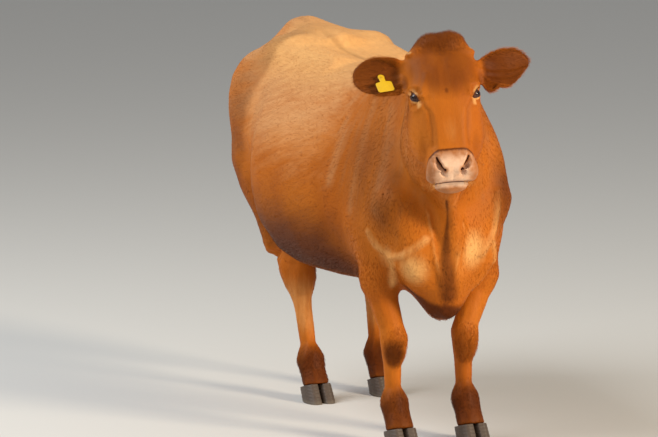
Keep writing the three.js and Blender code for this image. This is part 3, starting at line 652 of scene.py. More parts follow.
class Finish:
    """A material made of a Principled shader and the nodes that feed it."""

    def __init__(self, name):
        self.material = bpy.data.materials.new(name)
        self.material.use_nodes = True
        self.tree = self.material.node_tree
        self.shader = self.tree.nodes["Principled BSDF"]

    def node(self, kind, settings=None, inputs=None, out=0):
        """A node with its settings made first, then its sockets filled, as the wire from one output."""
        node = self.tree.nodes.new(kind)
        for name, value in (settings or {}).items():
            setattr(node, name, value)
        for key, value in (inputs or {}).items():
            self.feed(node.inputs[key], value)
        return Wire(self, node.outputs[out])

    def feed(self, socket, value):
        if isinstance(value, Wire):
            self.tree.links.new(value.socket, socket)
        else:
            socket.default_value = value

    def paint(self, **sockets):
        """Sets the shader's sockets, named in small letters with underscores."""
        for name, value in sockets.items():
            wanted = name.replace("_", " ")
            self.feed(next(s for s in self.shader.inputs if s.name.lower() == wanted), value)

    def mark(self, name):
        """A marking of the piece: a number at each point."""
        return self.node("ShaderNodeAttribute", {"attribute_name": name}, out=2)

    def grain(self):
        return self.node("ShaderNodeAttribute", {"attribute_name": "grain"}, out=1)

    def place(self):
        return self.node("ShaderNodeTexCoord", out=3)

    def noise(self, vector, scale, detail=2.0, roughness=0.5):
        sockets = {"Vector": vector, "Scale": scale, "Detail": detail, "Roughness": roughness}
        return self.node("ShaderNodeTexNoise", {}, sockets)

    def mixed(self, share, first, second):
        """One colour fading into another."""
        return self.node("ShaderNodeMix", {"data_type": "RGBA"}, {0: share, 6: first, 7: second}, out=2)

    def shaded(self, colour, value):
        """A colour made darker or lighter by a number at each point."""
        return self.node("ShaderNodeVectorMath", {"operation": "SCALE"}, {0: colour, 3: value})

    def bump(self, height, depth, strength=1.0):
        return self.node("ShaderNodeBump", {}, {"Strength": strength, "Distance": depth, "Height": height})


def opaque(colour):
    return (*colour, 1.0)


def coat_finish(look):
    """Short glossy hair over the markings; bare pink skin where there is none."""
    f = Finish("coat")
    grain, place = f.grain(), f.place()
    strands = f.noise(grain, 520, 3, 0.6)
    locks = f.noise(grain, 70, 2, 0.5)
    bands = f.noise(grain, 16, 3, 0.55)
    patches = f.noise(place, 3.5, 2, 0.5)
    ragged = (patches - 0.5) * 0.25 + (locks - 0.5) * 0.15 + (bands - 0.5) * 0.32
    # the dark mark holds dark hair and painted shade, the pale mark pale hair and painted light
    dark = (f.mark("dark") + ragged).rise(0.02, 0.98)
    pale = (f.mark("pale") + (locks - 0.5) * 0.30 + (patches - 0.5) * 0.2).rise(0.12, 0.95)
    # the painted sheen of hair seen flat on the upper parts
    painted_sheen_mask = (f.mark("painted_sheen_mask") + (locks - 0.5) * 0.35 + (bands - 0.5) * 0.7).rise(0.05, 1.0)
    colour = f.mixed(patches.rise(0.35, 0.7), opaque(look.red), opaque(look.red_deep))
    colour = f.mixed(painted_sheen_mask * 0.85, colour, opaque(look.painted_sheen_colour))
    colour = f.mixed(pale, colour, opaque(look.gold))
    colour = f.mixed(dark, colour, opaque(look.brown))
    colour = f.shaded(colour, 0.74 + strands * 0.32 + locks * 0.20)
    bare = f.mark("bare")
    cells = f.node("ShaderNodeTexVoronoi", {}, {"Vector": place, "Scale": 300})
    blotches = f.noise(place, 45, 3).rise(0.35, 0.75)
    # the bare skin deepens in random blotches, and as painted shade where the dark mark is
    blush_and_painted_shade = f.mixed(blotches * 0.35 + f.mark("dark") * 0.95, opaque(look.pink), opaque(look.pink_deep))
    blush_and_painted_shade = f.shaded(blush_and_painted_shade, 0.93 + f.noise(place, 240, 2) * 0.14)
    colour = f.mixed((bare + (locks - 0.5) * 0.4).rise(0.25, 0.95), colour, blush_and_painted_shade)
    # painted shade inside the nostrils and between the lips
    colour = f.mixed(f.mark("inside").rise(0.1, 0.9), colour, opaque(look.nostril))
    hair = f.bump(strands * 0.7 + locks * 0.5, 0.0011 * look.bump, 0.8)
    pebbles = f.bump(cells, 0.0010, 0.5)
    normal = f.node("ShaderNodeMix", {"data_type": "VECTOR"}, {0: bare, 4: hair, 5: pebbles}, out=1)
    f.paint(
        base_color=colour, roughness=0.56 - bare * 0.16 - f.mark("inside") * 0.1, normal=normal,
        specular_ior_level=0.12, coat_weight=bare * 0.22, coat_roughness=0.35,
    )
    return f.material


# ---------------------------------------------------------------- the cow's skin


class CowSkinSettings(bpy.types.PropertyGroup):
    """Sizes of the skin."""

    voxel: length_setting("Voxel", "Size of the cells that fuse the solids", 0.005)
    coat_depth: length_setting("Coat Depth", "How far the skin lies inside the solids", 0.0015)
    triangles: IntProperty(name="Triangles", description="The most triangles of the skin", default=190000)


class CowCoatSettings(bpy.types.PropertyGroup):
    """Colours and amounts of the coat."""

    red: colour_setting("Red", "Main colour of the hair", (0.53, 0.145, 0.010))
    red_deep: colour_setting("Deep Red", "Deeper patches of the hair", (0.43, 0.105, 0.006))
    # also the colour of painted light on the back, the nose, the chest and along the folds
    gold: colour_setting("Gold", "Pale hair", (0.80, 0.42, 0.14))
    # the colour of the painted sheen
    painted_sheen_colour: colour_setting("Haze", "Sheen of the hair on the upper parts", (0.66, 0.33, 0.13))
    # also the colour of painted shade under the belly, over the shoulders and in creases and hollows
    brown: colour_setting("Brown", "Dark hair", (0.105, 0.021, 0.0008))
    pink: colour_setting("Pink", "Bare skin", (0.86, 0.56, 0.38))
    # also the colour of painted shade on the muzzle's sides, round the nostrils and below the lips
    pink_deep: colour_setting("Deep Pink", "Redder bare skin", (0.42, 0.155, 0.05))
    # the colour of painted shade inside the nostrils and between the lips
    nostril: colour_setting("Nostril", "Inside the nostrils and lips", (0.09, 0.022, 0.012))
    bump: FloatProperty(name="Bump", description="Strength of the hair's bump", default=1.0)


# Behind the left shoulder and elbow.
ELBOW_FOLD = [(0.20, -0.17, 1.12), (0.31, -0.12, 0.92), (0.30, -0.14, 0.80), (0.24, -0.18, 0.68)]

# Ridges (+) and creases (-): whose frame they are in, their line, height and half width.
FOLDS = [
    ("face", CHEEK_LINE, -0.0036, 0.008),
    ("face", [(0.070, 0.040), (0.046, 0.080), (0.042, 0.150), (0.046, 0.200)], 0.0020, 0.010),
    ("face", [(0.078, 0.050), (0.082, 0.090), (0.080, 0.135), (0.070, 0.160)], 0.0024, 0.012),
    ("face", [(0.000, 0.262), (0.000, 0.290)], -0.0012, 0.003),
    ("face", [(0.062, -0.070), (0.074, -0.030), (0.084, 0.008)], 0.0030, 0.010),
    ("face", [(0.000, -0.120), (0.000, -0.030)], -0.0022, 0.014),
    ("body", [(-x, y, z) for x, y, z in ELBOW_FOLD], -0.0050, 0.022),
    ("body", ELBOW_FOLD, -0.0050, 0.022),
    ("body", DEWLAP, 0.0042, 0.014),
    ("body", [(-0.190, -0.440, 0.72), (-0.205, -0.430, 0.64), (-0.170, -0.450, 0.58)], -0.0060, 0.018),
    ("body", [(0.205, -0.450, 0.74), (0.190, -0.450, 0.64), (0.150, -0.450, 0.58)], -0.0070, 0.012),
    ("body", SPINE, -0.0030, 0.022),
]
FOLDS += [("body", streak, 0.0022, 0.030) for streak in STREAKS]
FOLDS += [("body", fold, 0.0075, 0.012) for fold in CHEST_FOLDS]
FOLDS += [("body", fold, 0.0065, 0.011) for fold in THROAT_FOLDS]

# Spots where the skin swells (+) or sinks (-). The last number is how far.
SWELLINGS = [
    ("halves", (0.118, -0.205, -0.060), (0.045, 0.045, 0.12), 0.7, -0.009),  # beside the crown
    ("halves", (0.050, -0.235, -0.050), (0.045, 0.050, 0.10), 0.9, 0.004),  # the crown's two lobes
    ("head", (0, -0.235, -0.045), (0.035, 0.060, 0.12), 0.9, -0.0022),  # between them
    ("halves", (0.112, -0.160, -0.036), (0.022, 0.014, 0.035), 0.7, 0.006),  # the scurs
    ("halves", (0.125, -0.085, -0.02), (0.05, 0.05, 0.06), 0.9, -0.003),  # the temples
    ("halves", (0.112, -0.030, -0.012), (0.028, 0.016, 0.03), 0.8, 0.0035),  # the brows
    ("body", (0.19, -0.50, 1.04), (0.12, 0.22, 0.22), 0.9, 0.026),  # the left shoulder
    ("body", (-0.20, 0.10, 0.60), (0.25, 0.50, 0.12), 0.9, 0.010),  # the right side of the belly
]
SWELLINGS += [("body", hock, (0.09, 0.12, 0.16), 0.8, 0.013) for hock in HOCKS]


def bell(distance, width):
    """1 at no distance, falling off on both sides over about this width."""
    return np.exp(-((distance / width) ** 2))


def muzzle_relief(on):
    """The raised rims of the nostrils, and the groove of the mouth below a full upper lip."""
    mouth = mouth_gap(on.h)
    lips = (1 - rise(np.abs(on.h[:, 0]), 0.062, 0.078)) * on.head
    groove = -0.0080 * bell(mouth, 0.0028)
    full = 0.0024 * bell(mouth - 0.009, 0.006) - 0.0020 * bell(mouth + 0.010, 0.009)
    return 0.0020 * bell(nostril_gap(on.h) - 0.008, 0.006) * on.head + (groove + full) * lips


def fold_relief(on):
    """The ridges and creases of FOLDS. Those of the face are on its front only."""
    front = rise(on.h[:, 2], -0.09, -0.05) * on.head
    relief = np.zeros(len(on.p))
    for frame_of, line, height, width in FOLDS:
        if frame_of == "face":
            relief += height * bell(off_face_line(on.m, line), width) * front
        else:
            relief += height * bell(off_line(on.p, line), width) * on.body
    return relief


def ear_relief(on):
    """Ribs of cartilage along the bowls of the ears."""
    bowl = on.part["ear"] * rise(on.normals @ np.array(OUT), 0.2, 0.6)
    across = on.h[:, 1] + 0.085 - 0.1 * np.abs(on.h[:, 0])
    return bowl * 0.0022 * np.sin(across * 2 * np.pi / 0.030) * (1 - rise(np.abs(across), 0.03, 0.05))


def left_ear_shift(on):
    """Draws the left ear's tip in and up and the lobe at its root down, in the head's frame."""
    tip = rise(on.m[:, 0], 0.21, 0.33)
    lobe = near(on.m * [1, 1, 0], (0.160, -0.040, 0), (0.035, 0.030, 1), 0.9)
    down = 0.018 * lobe - 0.032 * tip * rise(on.h[:, 1], -0.16, -0.05)
    left = on.part["ear"] * (on.h[:, 0] < 0)
    return np.stack([0.018 * tip, down, 0 * tip], axis=1) * left[:, None]


def fold_skin(points, normals):
    """Sculpts the skin: folds, swellings, gaskins, ears, mouth and the bores of the nostrils."""
    on = Surface(points, normals)
    move = muzzle_relief(on) + fold_relief(on) + ear_relief(on) + sum(on.spots(SWELLINGS))
    for gaskin in GASKINS:
        move += 0.028 * near(on.p, gaskin, (0.13, 0.12, 0.14), 0.9) * rise(normals[:, 1], -0.6, 0.3)
    outward = np.stack([np.sign(on.h[:, 0]), np.ones(len(points)), np.ones(len(points))], axis=1)
    depth = 0.013 * (1 - rise(nostril_gap(on.h), -0.0045, 0.0010)) * on.head
    shift = left_ear_shift(on) + INTO_NOSTRIL * outward * depth[:, None]
    return points + normals * move[:, None] + shift @ np.array(AXES)


def wrap_eyes(points):
    """Draws the skin over the eyeballs as lids, and behind them within the lids' opening.

    Also gives the depth of the crease round the lids.
    """
    gap = lid_gap(points)
    wrapped = points.copy()
    for centre in EYES.values():
        ray = points - np.array(centre)
        reach = np.linalg.norm(ray, axis=1)
        lid = EYE_RADIUS + LID_RISE + 0.0035 * rise(gap, 0.0, 0.009)
        hidden = rise(-gap, 0.0003, 0.0016)
        target = lid * (1 - hidden) + (EYE_RADIUS - 0.003) * hidden
        share = (1 - rise(gap, 0.004, 0.020)) * (gap < 0.1) * (reach < 0.045)
        wrapped += ray * (share * (target / reach - 1))[:, None]
    return wrapped, bell(gap - 0.0105, 0.0028) * 0.0022


def smooth_evenly(piece, group, iterations):
    """Smooths a mesh and gives back the size that plain smoothing takes away."""
    rounds = []
    for _ in range(3):
        finish_with(piece, "SMOOTH", factor=0.5, iterations=iterations, vertex_group=group)
        rounds.append(points_of(piece))
    move_points(piece, 3 * rounds[0] - 3 * rounds[1] + rounds[2])


def split_faces(piece, chosen):
    """Splits the faces between the chosen points into four."""
    pick(piece)
    bpy.context.tool_settings.mesh_select_mode = (True, False, False)
    bpy.ops.object.mode_set(mode="EDIT")
    bpy.ops.mesh.select_all(action="DESELECT")
    bpy.ops.object.mode_set(mode="OBJECT")
    piece.data.vertices.foreach_set("select", chosen)
    bpy.ops.object.mode_set(mode="EDIT")
    bpy.ops.mesh.subdivide(number_cuts=1)
    bpy.ops.object.mode_set(mode="OBJECT")


def fine_parts(points, margin):
    """Where the skin needs finer faces: round the eyes, the nostrils and the mouth."""
    h = in_head(points)
    eyes = np.minimum(*(np.linalg.norm(points - np.array(centre), axis=1) for centre in EYES.values()))
    holes = np.minimum(nostril_gap(h), np.abs(mouth_gap(h)))
    return (eyes < 0.030 + margin) | (holes < 0.006 + margin)


class COW_OT_skin(bpy.types.Operator):
    """Fuse the flesh into one smooth skin"""

    bl_idname = "cow.skin"
    bl_label = "Skin"

    def execute(self, context):
        sizes = context.scene.cow_skin
        skin = copy_of("skin", FLESH + LEGS + ["eye_right", "eye_left"])
        finish_with(skin, "DISPLACE", strength=0.0006, mid_level=0.0)
        finish_with(skin, "REMESH", mode="VOXEL", voxel_size=sizes.voxel, use_smooth_shade=True)
        part = regions(points_of(skin))
        calm = 1 - np.maximum.reduce([part["head"], part["leg"], part["tail"], part["udder"]])
        weigh(skin, "calm", calm)
        smooth_evenly(skin, "calm", 120)
        weigh(skin, "thin", 1 - part["ear"])
        smooth_evenly(skin, "thin", 14)
        finish_with(skin, "SMOOTH", factor=0.5, iterations=3)
        split_faces(skin, fine_parts(points_of(skin), 0.012))
        split_faces(skin, fine_parts(points_of(skin), 0.0))
        points, normals = points_of(skin), normals_of(skin)
        move_points(skin, fold_skin(points - normals * sizes.coat_depth, normals))
        points, crease = wrap_eyes(points_of(skin))
        move_points(skin, points - normals_of(skin) * crease[:, None])
        loose = 1 - 0.75 * regions(points)["head"]
        weigh(skin, "loose", np.where(fine_parts(points, 0.004), 0.0, loose))
        skin.data.calc_loop_triangles()
        finish_with(
            skin, "DECIMATE", vertex_group="loose", ratio=sizes.triangles / len(skin.data.loop_triangles)
        )
        skin.vertex_groups.clear()
        write_markings(skin, markings(points_of(skin), normals_of(skin)))
        settle(skin, coat_finish(context.scene.cow_coat), "coat", *FLESH, *LEGS)
        return {"FINISHED"}


# ---------------------------------------------------------------- eyes and lids


class CowEyeSettings(bpy.types.PropertyGroup):
    """Colours of the eyes."""

    iris: colour_setting("Iris", "The iris", (0.022, 0.007, 0.004))
    white: colour_setting("White", "The part round the iris", (0.13, 0.045, 0.030))
    lid: colour_setting("Lid", "The bare rim of the lids", (0.10, 0.030, 0.018))


def eye_finish(look):
    """A dark wet eye with a wide level pupil."""
    f = Finish("eye")
    along, across = f.mark("along"), f.mark("across")
    iris = (along * along + across * across).rise(0.42, 0.55)
    pupil = (along * along * 0.40 + across * across * 2.6).rise(0.055, 0.085)
    rays = f.noise(f.place(), 900, 3, 0.7)
    colour = f.mixed(rays, opaque(look.iris), opaque([c * 2.6 for c in look.iris]))
    colour = f.mixed(pupil, opaque((0.002, 0.002, 0.003)), colour)
    colour = f.mixed(iris, colour, f.mixed(rays, opaque(look.white), opaque([c * 0.6 for c in look.white])))
    f.paint(
        base_color=colour, roughness=0.10 + rays * 0.05, specular_ior_level=0.30,
        coat_weight=0.30, coat_roughness=0.02,
    )
    return f.material


def lid_finish(look):
    """Moist bare skin along the lids."""
    f = Finish("lid")
    fine = f.noise(f.place(), 700, 3, 0.6)
    colour = f.mixed(fine.rise(0.3, 0.7), opaque(look.lid), opaque([c * 0.45 for c in look.lid]))
    f.paint(base_color=colour, roughness=0.30 + fine * 0.15, normal=f.bump(fine, 0.0004))
    return f.material


def almond(turn):
    """The lids' outline on a ball of radius 1, along and across, by its turn about the middle."""
    a = ALMOND[0] * np.cos(turn)
    b = ALMOND[1] * np.sign(np.sin(turn)) * np.abs(np.sin(turn)) ** 1.35
    return a, b


def eyeball(which, centre):
    """A ball with the cornea raised in front."""
    ahead, along, across = (np.array(axis) for axis in eye_frame(which))
    bpy.ops.mesh.primitive_uv_sphere_add(segments=48, ring_count=32, radius=EYE_RADIUS, location=centre)
    bpy.ops.object.transform_apply()
    eye = bpy.context.object
    eye.name = eye.data.name = f"eyeball_{which}"
    bpy.ops.object.shade_smooth()
    points = points_of(eye) - np.array(centre)
    flat = points / EYE_RADIUS
    cornea = rise(flat @ ahead, 0.70, 1.0) * 0.0014
    move_points(eye, points + np.outer(cornea, ahead) + np.array(centre))
    write_markings(eye, {"along": flat @ along, "across": flat @ across + 0.02})
    return eye


def lid_rim(which, centre):
    """A moist rim laid along the edge of the lids' opening, from a ring."""
    ahead, along, across = (np.array(axis) for axis in eye_frame(which))
    bar = 0.1  # the ring's thickness, as a share of its radius
    bpy.ops.mesh.primitive_torus_add(major_segments=56, minor_segments=10, major_radius=1, minor_radius=bar)
    rim = bpy.context.object
    rim.name = rim.data.name = f"lid_rim_{which}"
    bpy.ops.object.shade_smooth()
    p = points_of(rim)
    turn = np.arctan2(p[:, 1], p[:, 0])
    thick, high = (np.hypot(p[:, 0], p[:, 1]) - 1) / bar, p[:, 2] / bar
    a, b = almond(turn)
    grow = 1 + 0.07 * thick
    a, b = a * grow, b * grow + 0.03 * thick * np.sign(b)
    height = np.sqrt(np.clip(1 - a * a - b * b, 0, 1))
    ray = np.outer(a, along) + np.outer(b, across) + np.outer(height, ahead)
    ray /= np.linalg.norm(ray, axis=1)[:, None]
    reach = EYE_RADIUS + LID_RISE + 0.0013 * high + 0.0010 * np.abs(thick)
    move_points(rim, np.array(centre) + ray * reach[:, None])
    edit_whole(rim, bpy.ops.mesh.normals_make_consistent, inside=False)
    return rim


class COW_OT_eyes(bpy.types.Operator):
    """Make the eyeballs and the rims of their lids"""

    bl_idname = "cow.eyes"
    bl_label = "Eyes"

    def execute(self, context):
        look = context.scene.cow_eyes
        eye_look, lid_look = eye_finish(look), lid_finish(look)
        for which, centre in EYES.items():
            settle(eyeball(which, centre), eye_look, "eye", f"eye_{which}")
            settle(lid_rim(which, centre), lid_look, "eye")
        return {"FINISHED"}


# ---------------------------------------------------------------- horn and tag


class CowHornSettings(bpy.types.PropertyGroup):
    """Colours of the hooves and the tag."""

    horn: colour_setting("Horn", "The hooves", (0.070, 0.048, 0.034))
    horn_pale: colour_setting("Pale Horn", "Streaks of the hooves", (0.11, 0.075, 0.052))
    tag: colour_setting("Tag", "The ear tag", (0.68, 0.42, 0.010))


def horn_finish(look):
    """Grown horn: rings across the claw, fine streaks down it, dull and dusty near the sole."""
    f = Finish("horn")
    place = f.place()
    height = f.node("ShaderNodeSeparateXYZ", {}, {0: place}, out=2)
    wobble = f.noise(place, 30, 2)
    rings = f.node(
        "ShaderNodeTexNoise", {"noise_dimensions": "1D"}, {"W": height + wobble * 0.006, "Scale": 190}
    )
    down = f.node("ShaderNodeMapping", {}, {"Vector": place, "Scale": (1.0, 1.0, 0.05)})
    streaks = f.noise(down, 420, 2, 0.6)
    colour = f.mixed(streaks.rise(0.35, 0.75), opaque(look.horn), opaque(look.horn_pale))
    colour = f.shaded(colour, 0.8 + rings * 0.4)
    colour = f.mixed((0.02 - height).rise(0.0, 0.02), colour, opaque((0.13, 0.10, 0.07)))
    relief = f.bump(rings * 0.8 + streaks * 0.3, 0.0012)
    f.paint(base_color=colour, roughness=0.42 + streaks * 0.25, normal=relief)
    return f.material


def tag_finish(look):
    """Yellow moulded plastic, a little scuffed and dirty."""
    f = Finish("tag")
    place = f.place()
    dirt = f.noise(place, 70, 4, 0.6).rise(0.52, 0.75)
    fine = f.noise(place, 1500, 2, 0.5)
    colour = f.mixed(dirt * 0.35, opaque(look.tag), opaque((0.32, 0.17, 0.03)))
    f.paint(
        base_color=f.shaded(colour, 0.94 + fine * 0.12), roughness=0.36 + dirt * 0.25,
        normal=f.bump(fine, 0.0002),
    )
    return f.material


RING_SPACING = 0.0115  # of the growth rings of a claw
RING_HEIGHT = 0.0004
SOLE = 0.0028  # what is lower than this lies flat on the ground


class COW_OT_horn(bpy.types.Operator):
    """Shape the claws and dewclaws"""

    bl_idname = "cow.horn"
    bl_label = "Hooves"

    def execute(self, context):
        finish = horn_finish(context.scene.cow_horn)
        for leg in LEGS:
            nodes = [node for node in CLAWS + DEWCLAWS if node.startswith(leg)]
            hoof = copy_of(f"{leg}_hoof", nodes)
            finish_with(hoof, "REMESH", mode="VOXEL", voxel_size=0.0022, use_smooth_shade=True)
            finish_with(hoof, "SMOOTH", factor=0.5, iterations=7)
            points = points_of(hoof)
            wobble = 1.5 * np.sin(points[:, 0] * 90)
            ring = np.sin(points[:, 2] * 2 * np.pi / RING_SPACING + wobble) * RING_HEIGHT
            points += normals_of(hoof) * (ring * rise(points[:, 2], 0.004, 0.012))[:, None]
            points[:, 2] = np.where(points[:, 2] < SOLE, 0.0, points[:, 2])
            move_points(hoof, points)
            finish_with(hoof, "DECIMATE", ratio=0.35)
            settle(hoof, finish, "horn", *nodes)
        return {"FINISHED"}


class COW_OT_tag(bpy.types.Operator):
    """Round the edges of the ear tag and its pin"""

    bl_idname = "cow.tag"
    bl_label = "Ear Tag"

    def execute(self, context):
        finish = tag_finish(context.scene.cow_horn)
        for name, node in (("tag_plate", "ear_tag"), ("tag_pin", "ear_tag_pin")):
            piece = copy_of(name, [node])
            edit_whole(piece, bpy.ops.mesh.dissolve_limited, angle_limit=math.radians(2))
            finish_with(piece, "BEVEL", width=0.0006, segments=3, limit_method="ANGLE", angle_limit=0.6)
            bpy.ops.object.shade_smooth_by_angle(angle=math.radians(35))
            settle(piece, finish, "ear_tag", node)
        return {"FINISHED"}


# ---------------------------------------------------------------- coat


class CowHairSettings(bpy.types.PropertyGroup):
    """Amount and size of the tufts."""

    tufts: IntProperty(name="Tufts", description="How many tufts lie over the body", default=118000)
    length: length_setting("Length", "Length of the tufts on the trunk", 0.016)
    width: length_setting("Width", "Width of the tufts on the trunk", 0.0010)
    rough_length: length_setting("Rough Length", "Length of the rough tufts on knees and crown", 0.020)
    lift: FloatProperty(
        name="Lift", description="How far the tufts stand off, as a share of their length", default=0.018
    )
    seed: IntProperty(name="Seed", description="Seed of the scatter", default=7)


TUFTS_PER_PIECE = 19000
ROOT_DEPTH = 0.0010  # of a tuft's foot below the skin
TIP_DIP = 0.0003  # how far its tip bows back to the skin

# Spots of rough, longer hair. The last number is how rough.
ROUGH_SPOTS = [("crown", (0, -0.20, -0.06), (0.135, 0.085, 0.12), 0.5, 0.9)]
ROUGH_SPOTS += [("body", moved(knee, [0, -0.03, 0]), (0.065, 0.06, 0.10), 0.6, 1.0) for knee in KNEES]
ROUGH_SPOTS += [("body", moved(place, [0, 0.01, -0.03]), (0.075, 0.09, 0.11), 0.6, 0.8) for place in FETLOCKS]


def hair_sizes(points, settings):
    """How thickly, how long, how wide and how raised the tufts are at each point."""
    on = Surface(points)
    ear, leg = on.part["ear"], on.part["leg"]
    under = (1 - rise(on.p[:, 2], 0.52, 0.72)) * (1 - leg) * (np.abs(on.p[:, 1] - 0.1) < 0.6)
    rough = np.maximum(0.5 * under, on.spotted(ROUGH_SPOTS))
    fringe = ear * rise(ear_reach(on.h), 0.86, 0.98)
    length = settings.length * (1 - 0.45 * leg - 0.50 * on.head)
    length = length + (settings.rough_length - length) * rough * 0.85 + 0.004 * ear + 0.008 * fringe
    width = settings.width * (1 - 0.30 * leg - 0.42 * on.head)
    lift = settings.lift + 0.30 * rough + 0.06 * ear + 0.12 * fringe
    dense = (1 + 0.7 * leg + 0.9 * on.head) * (1 + 1.6 * rough + 1.0 * ear + 5.0 * fringe)
    haired = (bare_muzzle(on.h) * on.head < 0.5) & (on.part["udder"] < 0.5) & (nostril_gap(on.h) >= 0.002)
    return dense * haired, length, width, lift


class Bark:
    """A coarse unwrapped copy of the skin that gives each tuft's place on its texture."""

    def __init__(self, skin):
        pick(skin)
        bpy.ops.object.duplicate()
        coarse = bpy.context.object
        finish_with(coarse, "DECIMATE", ratio=4000 / len(coarse.data.polygons))
        finish_with(coarse, "TRIANGULATE")
        edit_whole(coarse, bpy.ops.uv.smart_project, angle_limit=math.radians(66), island_margin=0.004)
        mesh = coarse.data
        self.points = points_of(coarse)
        self.corners = np.array([tuple(face.vertices) for face in mesh.polygons])
        uv = np.empty(len(mesh.loops) * 2, np.float32)
        mesh.uv_layers.active.data.foreach_get("uv", uv)
        self.uv = uv.reshape(-1, 3, 2)
        self.tree = BVHTree.FromPolygons(self.points.tolist(), self.corners.tolist())
        bpy.data.objects.remove(coarse)

    def patches(self, points):
        """The place on the texture of the nearest spot of the skin."""
        hits = [self.tree.find_nearest(point) for point in points.tolist()]
        face = np.array([hit[2] for hit in hits])
        spot = np.array([tuple(hit[0]) for hit in hits])
        a, b, c = (self.points[self.corners[face, i]] for i in range(3))
        n = np.cross(b - a, c - a)
        whole = np.sum(n * n, axis=1) + 1e-20
        u = np.sum(np.cross(c - b, spot - b) * n, axis=1) / whole
        v = np.sum(np.cross(a - c, spot - c) * n, axis=1) / whole
        shares = np.stack([u, v, 1 - u - v], axis=1)
        return np.sum(self.uv[face] * shares[:, :, None], axis=1)


def scatter(skin, settings, rng):
    """Roots of tufts all over the skin, thicker where hair_sizes says, and the normals there."""
    points, normals, corners = points_of(skin), normals_of(skin), triangles_of(skin)
    a, b, c = (points[corners[:, i]] for i in range(3))
    area = np.linalg.norm(np.cross(b - a, c - a), axis=1) / 2
    dense = hair_sizes((a + b + c) / 3, settings)[0]
    chance = np.cumsum(area * dense)
    draw = (np.arange(settings.tufts) + rng.random(settings.tufts)) / settings.tufts * chance[-1]
    face = np.clip(np.searchsorted(chance, draw), 0, len(corners) - 1)
    u, v = np.sqrt(rng.random(len(face))), rng.random(len(face))
    shares = np.stack([1 - u, u * (1 - v), u * v], axis=1)[:, :, None]
    root = np.sum(points[corners[face]] * shares, axis=1)
    up = np.sum(normals[corners[face]] * shares, axis=1)
    return root, up / np.linalg.norm(up, axis=1)[:, None]


def lay_tufts(root, up, settings, rng):
    """The middle line, the side and the widths of a tuft at each root, along the lie of the hair."""
    _, length, width, lift = hair_sizes(root, settings)
    along = lie(root, up)
    side = np.cross(up, along)
    stray = rng.normal(0, 0.09 + 1.0 * np.clip(lift - 0.04, 0, 1))[:, None]
    along = along * np.cos(stray) + side * np.sin(stray)
    side = np.cross(up, along)
    length = length * rng.uniform(0.65, 1.25, len(root))
    width = width * rng.uniform(0.7, 1.25, len(root))
    bend = rng.normal(0, 0.10, len(root))[:, None] * side
    base = root - up * ROOT_DEPTH
    mid = root + (along + bend * 0.5) * (0.45 * length)[:, None] + up * (0.7 * lift * length)[:, None]
    tip = root + (along + bend) * length[:, None] + up * (lift * length * 1.1 - TIP_DIP)[:, None]
    return np.stack([base, mid, tip], axis=1), side, np.stack([width * 0.8, width], axis=1)


class COW_OT_coat(bpy.types.Operator):
    """Lay short tufts of hair over the skin"""

    bl_idname = "cow.coat"
    bl_label = "Coat"

    def execute(self, context):
        settings = context.scene.cow_hair
        skin = bpy.data.objects["skin"]
        rng = np.random.default_rng(settings.seed)
        bark = Bark(skin)
        root, up = scatter(skin, settings, rng)
        lines, side, widths = lay_tufts(root, up, settings, rng)
        patch = bark.patches(root)
        order = np.argsort(in_body(root)[:, 1], kind="stable")
        for number, first in enumerate(range(0, len(order), TUFTS_PER_PIECE)):
            some = order[first:first + TUFTS_PER_PIECE]
            marks = markings(root[some], up[some])
            marks["grain"] = marks["grain"] + rng.normal(0, 0.004, marks["grain"].shape)
            shape = lines[some], side[some], up[some], widths[some]
            piece = spikes(f"coat_{number + 1}", *shape, patch[some], marks)
            settle(piece, skin.data.materials[0], "coat")
        return {"FINISHED"}


class CowLockSettings(bpy.types.PropertyGroup):
    """Amount and size of the long hairs."""

    locks: IntProperty(name="Locks", description="How many locks hang from the tail", default=2600)
    lashes: IntProperty(name="Lashes", description="How many lashes each upper lid has", default=54)
    whiskers: IntProperty(name="Whiskers", description="How many whiskers stand out of the lips", default=90)
    seed: IntProperty(name="Seed", description="Seed of the scatter", default=11)


LASH_HEIGHT = 0.0022  # of their roots over the eyeballs


def grow_long(name, roots, up, first, last, length, width, sag, bark, marks):
    """Long curved hairs that leave along one direction and end along another."""
    steps = np.linspace(0, 1, 5)[None, :, None]
    turn = first[:, None] * (1 - steps) + last[:, None] * steps
    turn /= np.linalg.norm(turn, axis=2)[:, :, None]
    path = np.cumsum(turn, axis=1) - turn[:, :1]
    lines = roots[:, None] + path * (length / 4)[:, None, None] + np.array([0, 0, -1.0]) * sag * steps ** 2
    side = unit(np.cross(up, first))
    widths = width[:, None] * np.array([[0.8, 1.0, 0.85, 0.5]])
    return spikes(name, lines, side, np.cross(first, side), widths, bark.patches(roots), marks)


def tail_switch(settings, rng, bark):
    """Locks round the end of the tail, spreading at first and drawn together below."""
    count = settings.locks
    turn, share = rng.uniform(0, 2 * np.pi, count), np.sqrt(rng.random(count))
    around = np.stack([np.cos(turn), np.sin(turn), np.zeros(count)], axis=1)
    high = rng.random(count) ** 1.3
    middle = np.array([0.080, 0.917, 0.735]) - np.outer(high, [0.0, 0.010, 0.160])
    wide = 0.010 + 0.020 * np.sin(np.clip(high * 1.4, 0, 1) * np.pi / 2)
    roots = middle + around * (wide * share)[:, None] + np.array(GROUND)
    down = np.array([0.0, -0.10, -1.0])
    first = unit(around * 0.42 + down + rng.normal(0, 0.05, (count, 3)))
    last = unit(-around * 0.30 * share[:, None] + down + rng.normal(0, 0.07, (count, 3)))
    length = rng.uniform(0.10, 0.20, count) * (1 - 0.25 * high)
    marks = markings(roots, around)
    marks["dark"] = rng.uniform(0.35, 0.95, count)
    marks["grain"] = marks["grain"] + rng.normal(0, 0.02, (count, 3))
    width = rng.uniform(0.0016, 0.0030, count)
    return grow_long("tail_locks", roots, around, first, last, length, width, 0.0, bark, marks)


